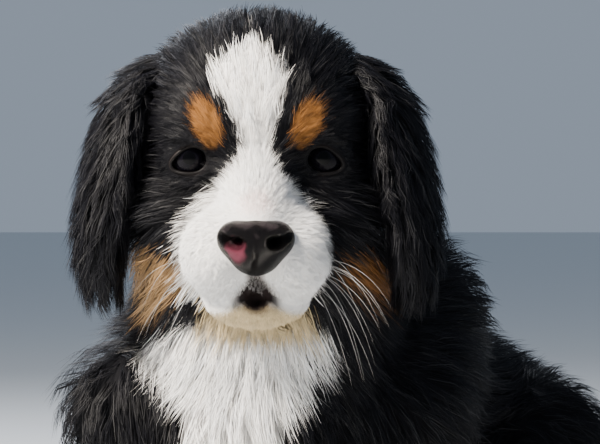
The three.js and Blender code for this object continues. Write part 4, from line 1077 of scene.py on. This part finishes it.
def ear_surface(side, t, turn):
    """Places on an ear, t from the crown to the tip and turn round its section."""
    rows = np.arange(len(EAR_ROWS))
    out, forward, up, half, thick = (np.interp(t * rows[-1], rows, column) for column in EAR_ROWS.T)
    inner = INNER_SHARE * (1 - 0.12 * np.cos(turn)) * (1 - 0.22 * soft(t, 0.45, 0.75))
    face = np.where(np.sin(turn) > 0, OUTER_SHARE, inner) * thick * np.sin(turn) + EAR_CUP * np.sin(turn) ** 2
    edge = 0.85 * half * np.cos(turn)
    swing = np.where(np.cos(turn) > 0, FRONT_TURN, BACK_TURN)
    slant = np.clip(1 - t * 3.5, 0, 1)
    level = face * (1 - slant)
    out = out + level * np.cos(swing) - edge * np.sin(swing)
    forward = forward + level * np.sin(BACK_TURN) + edge * np.cos(swing)
    return HEAD_ORIGIN + np.stack([side * out, forward, up + face * slant], axis=-1) @ HEAD_AXES


def tube_faces(rows, sides):
    """Triangles of a closed tube, whose points go round it in rows and end with its two end points."""
    number = np.arange(rows * sides).reshape(rows, sides)
    beside = np.roll(number, -1, axis=1)
    a, b, c, d = (part.ravel() for part in (number[:-1], beside[:-1], beside[1:], number[1:]))
    first_end, last_end = np.full(sides, rows * sides), np.full(sides, rows * sides + 1)
    caps = [(beside[0], number[0], first_end), (number[-1], beside[-1], last_end)]
    return np.concatenate([np.stack(corners, axis=1) for corners in ((a, b, c), (a, c, d), *caps)])


def ear_roots(side, number):
    """Places spread over an ear, with its normal and lie, and how far down the ear each is."""
    t = rng.uniform(0, 1, number) ** 0.9
    turn = rng.uniform(0, 2 * math.pi, number)
    place = ear_surface(side, t, turn)
    below = np.minimum(t + SMALL_STEP, 1)
    down = ear_surface(side, below, turn) - ear_surface(side, below - SMALL_STEP, turn)
    round_it = ear_surface(side, t, turn + SMALL_STEP) - place
    normal = unit(np.cross(down, round_it)) * side
    lie = unit(down) + 0.35 * (np.cos(turn) * (1 - t))[:, None] * HEAD_FORWARD
    return place, normal, lie + soft(t, 0, 0.4)[:, None] * [0, 0, -0.6], t


for s in (LEFT, RIGHT):
    ear_turns = np.arange(EAR_POINT_SIDES) / EAR_POINT_SIDES * 2 * math.pi
    down_ear, round_ear = np.meshgrid(np.linspace(0, 1, EAR_POINT_ROWS), ear_turns, indexing="ij")
    ear_points = ear_surface(s, down_ear.ravel(), round_ear.ravel())
    ends = ear_points.reshape(EAR_POINT_ROWS, EAR_POINT_SIDES, 3)[[0, -1]].mean(1)
    faces = tube_faces(EAR_POINT_ROWS, EAR_POINT_SIDES)
    if s == LEFT:
        faces = faces[:, ::-1]
    ear = new_piece(f"ear_{SIDE_NAMES[s]}_leather", np.concatenate([ear_points, ends]), faces)
    paint(ear, np.tile(BLACK * 0.8, (len(ear_points) + 2, 1)))
    ear.data.materials.append(skin_paint)
    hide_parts(f"ear_{SIDE_NAMES[s]}")

    guides, normals, lies, t = ear_roots(s, EAR_GUIDES)
    lengths = 12 + 9 * soft(t, 0.1, 0.6)
    lies = lies + rng.normal(0, 0.2, lies.shape)
    paths = comb(guides, normals, lies, lengths, 3 + 2.5 * soft(t, 0.1, 0.5), EAR_HAIR_STEPS)
    stations = np.linspace(0, 1, EAR_HAIR_STEPS + 1)
    wave = np.sin(stations[None] * 7 + rng.uniform(0, 6.3, (len(guides), 1)))
    wave -= wave[:, :1]
    sideways = unit(np.cross(lies, normals))
    paths += (wave * np.linspace(0, 2.2, EAR_HAIR_STEPS + 1))[..., None] * sideways[:, None]
    roots, normals, _, t = ear_roots(s, EAR_HAIRS)
    lengths = 12 + 9 * soft(t, 0.1, 0.6)
    own = tufts(roots, normals, lengths, paths, nearest_of(roots, guides), clump=0.6, spread=0.06)
    colours = np.tile(BLACK, (EAR_HAIRS, 1)) * rng.uniform(0.6, 1.5, (EAR_HAIRS, 1))
    colours = colours + SILVER * (rng.random((EAR_HAIRS, 1)) < SILVER_SHARE)
    widths = rng.uniform(0.32, 0.55, EAR_HAIRS)
    uv = sphere_map(roots, on_head(s * 62, -28, -5))
    coat = hair_mesh(f"ear_{SIDE_NAMES[s]}_coat", own, normals, widths, colours, uv, tip_shade=1.3)

# The eyes: balls of dark brown, almost black, with a cornea that bulges a little. They sit in their lids
# and look ahead. Angles are from the line of gaze.
PUPIL, IRIS, IRIS_EDGE, EYE_WHITE = linear("#030304"), linear("#0C0A10"), linear("#07060A"), linear("#0C0A0E")
PUPIL_END, IRIS_END, EDGE_END = 0.3, 0.62, 0.72
CORNEA_RISE = 0.4
EYE_ROWS, EYE_SIDES = 48, 64

# The wet film of a living eye: smooth, with a small clear light in it.
eye_paint, _ = painted_material("wet_eye", {"Roughness": 0.14, "Specular IOR Level": 0.09})
row_bends = np.linspace(0, math.pi, EYE_ROWS + 2)[1:-1]
row_turns = np.arange(EYE_SIDES) / EYE_SIDES * 2 * math.pi
bend, around = (values.ravel() for values in np.meshgrid(row_bends, row_turns, indexing="ij"))
eye_radius = (EYEBALL_RADIUS + CORNEA_RISE * soft(-bend, -0.85, -0.3))[:, None]
all_bends, all_around = np.append(bend, [0, math.pi]), np.append(around, [0, 0])
streak = 0.85 + 0.25 * np.sin(23 * all_around) * np.sin(7 * all_around + 1)
eye_colours = np.where((all_bends < PUPIL_END)[:, None], PUPIL, IRIS * streak[:, None])
eye_colours = np.where((all_bends > IRIS_END)[:, None], IRIS_EDGE, eye_colours)
eye_colours = np.where((all_bends > EDGE_END)[:, None], EYE_WHITE, eye_colours)


def add_eyeball(side):
    gaze = unit(HEAD_FORWARD + side * 0.05 * HEAD_SIDE + 0.06 * HEAD_UP)
    gaze_side = unit(np.cross(gaze, HEAD_UP))
    gaze_up = np.cross(gaze_side, gaze)
    across_gaze = np.cos(around)[:, None] * gaze_side + np.sin(around)[:, None] * gaze_up
    ball = np.cos(bend)[:, None] * gaze + np.sin(bend)[:, None] * across_gaze
    centre = EYE_CENTRES[side]
    front, back = centre + (EYEBALL_RADIUS + CORNEA_RISE) * gaze, centre - EYEBALL_RADIUS * gaze
    points = np.concatenate([centre + eye_radius * ball, [front, back]])
    eye = new_piece(f"eyeball_{SIDE_NAMES[side]}", points, tube_faces(EYE_ROWS, EYE_SIDES))
    paint(eye, eye_colours)
    eye.data.materials.append(eye_paint)
    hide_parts(f"eye_{SIDE_NAMES[side]}")


# The rims of the lids: a thin roll of bare skin round each opening, where the lid rests on the eyeball.
# It is found on the lid's dome, and its outer side carries a painted highlight, most at the inner corner.
RIM_SIDES, RIM_STEPS, RIM_RADIUS = 10, 72, 0.85
RIM_DARK, RIM_HIGHLIGHT = linear("#0B090A"), linear("#6B615D")
RIM_SEARCH = 11.5  # how far out from the middle of the opening its edge is looked for
RIM_CENTRE_DROP = 1.2
RIM_DOME_DEPTH = 10.3

# Bare skin wetted by tears: a dull sheen along the roll.
lid_paint, _ = painted_material("moist_lid_skin", {"Roughness": 0.5, "Specular IOR Level": 0.12})
loop = np.arange(RIM_STEPS) / RIM_STEPS * 2 * math.pi
way = np.stack([np.cos(loop), np.zeros(RIM_STEPS), np.sin(loop)], axis=1)


def on_dome(reach):
    """Places on the lid's dome, that far from its middle in each direction."""
    flat = reach[:, None] * way + [0, 0, -RIM_CENTRE_DROP]
    room = np.maximum(1 - (flat[:, 0] / LID_DOME[0]) ** 2 - (flat[:, 2] / LID_DOME[2]) ** 2, 0.02)
    return flat + (RIM_DOME_DEPTH * np.sqrt(room))[:, None] * [0, 1, 0]


def add_lid_rim(side):
    low, high = np.zeros(RIM_STEPS), np.full(RIM_STEPS, RIM_SEARCH)
    for _ in range(24):
        middle = (low + high) / 2
        outside = from_opening(EYE_CENTRES[side] + on_dome(middle) @ HEAD_AXES, side) > 0
        low, high = np.where(outside, low, middle), np.where(outside, middle, high)
    spine = on_dome(low)
    outward = unit(spine)
    edge = unit(way - (way * outward).sum(1)[:, None] * outward)
    rim_turn = np.arange(RIM_SIDES) / RIM_SIDES * 2 * math.pi
    ring = spine[:, None] + RIM_RADIUS * (
        np.cos(rim_turn)[None, :, None] * edge[:, None] + np.sin(rim_turn)[None, :, None] * outward[:, None]
    )
    rim_points = EYE_CENTRES[side] + ring.reshape(-1, 3) @ HEAD_AXES
    number = np.arange(RIM_STEPS * RIM_SIDES).reshape(RIM_STEPS, RIM_SIDES)
    after, beside = np.roll(number, -1, axis=0), np.roll(number, -1, axis=1)
    rim_quads = np.stack([number, beside, np.roll(after, -1, axis=1), after], axis=-1).reshape(-1, 4)
    rim = new_piece(f"lid_rim_{SIDE_NAMES[side]}", rim_points, rim_quads)
    # A painted highlight on the rim's outer side, strongest at the inner corner.
    inner = np.repeat(soft(0.5 * np.sin(loop) - side * np.cos(loop), -0.2, 0.7), RIM_SIDES)
    pale = (soft(np.tile(np.cos(rim_turn), RIM_STEPS), -0.5, 0.3) * (0.08 + 0.92 * inner))[:, None]
    paint(rim, RIM_DARK * (1 - pale) + RIM_HIGHLIGHT * pale)
    rim.data.materials.append(lid_paint)


for s in (LEFT, RIGHT):
    add_eyeball(s)
    add_lid_rim(s)

# The nose: a pad of thick bare skin between the nostrils, with a cleft down the middle. It is black with
# a greyer top, which is partly mottled pigment and partly a painted highlight where the light falls on it,
# and one nostril has a pink spot, as the black comes in over a puppy's first months.
NOSE = [
    egg(0, 4, on_head(0, 46, -32.8), (12, 10.5, 12)),
    *[egg(0, 4, on_head(s * 9, 45, -29.3), (7.4, 9.5, 7.4)) for s in (LEFT, RIGHT)],
]
NOSTRILS = [
    form
    for s in (LEFT, RIGHT)
    for form in (
        egg(0, 2, on_head(s * 7.8, 56, -30), (3.1, 7, 2.8)),
        chain(0, 2, [(on_head(s * 10, 54, -30), 2), (on_head(s * 16, 49, -26.5), 1.2)]),
    )
]
CLEFT_BALLS = [(on_head(0, 57.5, -33), 0.7), (on_head(0, 56, -38), 0.9), (on_head(0, 53, -43), 1.0)]
NOSE_CLEFT = chain(0, 1, CLEFT_BALLS)
NOSE_MIDDLE = on_head(0, 46, -31)
NOSE_REACH, NOSE_STEP = 20, 0.75
NOSE_BLACK, NOSTRIL_SHADE = linear("#0C090A"), linear("#040303")
NOSE_PINK, NOSE_TOP_GREY_AND_HIGHLIGHT = linear("#823F50"), linear("#4A4145")
PINK_PLACE, PINK_RADII = on_head(-8.4, 55, -33.5), [4.2, 7, 5.4]


def nose_field(points):
    """How far the points are outside the nose, negative inside."""
    hollowed = smooth_max(joined(NOSE, points), -joined(NOSTRILS, points), 1.6)
    return smooth_max(hollowed, -form_distance(NOSE_CLEFT, points), 1.2)


nose_lines = [np.arange(middle - NOSE_REACH, middle + NOSE_REACH, NOSE_STEP) for middle in NOSE_MIDDLE]
nose_points, nose_quads = surface_of(nose_field, nose_lines, 2)
nose = new_piece("nose_leather", nose_points, nose_quads)
depth_in = soft(-joined(NOSTRILS, nose_points), -1.2, 0.6)[:, None]
from_pink = np.linalg.norm((nose_points - PINK_PLACE) / PINK_RADII, axis=1) - 0.25 * ripple(nose_points, 1.2)
pink = soft(-from_pink, -1.25, -0.6)[:, None] * (1 - 0.8 * depth_in)
# The top of the nose is greyer: partly mottled pigment, partly a painted highlight where light falls on it.
over_middle = head_place(nose_points)[:, 2] + 31
top_grey_and_highlight = (soft(over_middle + 4 * ripple(nose_points, 1.6), 5.5, 10) * 0.5)[:, None]
# Inside the nostrils the black is deeper still: a painted shade in the hollows.
nose_colours = NOSE_BLACK * (1 - depth_in) + NOSTRIL_SHADE * depth_in
nose_colours = nose_colours * (1 - pink) + NOSE_PINK * pink
paint(nose, nose_colours * (1 - top_grey_and_highlight) + NOSE_TOP_GREY_AND_HIGHLIGHT * top_grey_and_highlight)

# Moist nose leather: a wet shine over a grain. The grain runs over the piece's own box, 33.3 mm wide, and
# is too fine to be seen singly: it only softens the lights.
NOSE_GRAIN = 0.037
NOSE_SPAN = 33.3
nose_paint, shader = painted_material("moist_nose_leather", {"Roughness": 0.22, "Specular IOR Level": 0.17})
pebbles = add_node(nose_paint, "TexVoronoi", {"Scale": NOSE_SPAN / NOSE_GRAIN})
pebble_bump = add_node(
    nose_paint, "Bump",
    {"Height": pebbles.outputs["Distance"], "Strength": 0.9, "Distance": 0.0008}, invert=True,
)
nose_paint.node_tree.links.new(pebble_bump.outputs["Normal"], shader.inputs["Normal"])
nose.data.materials.append(nose_paint)
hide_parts("nose")
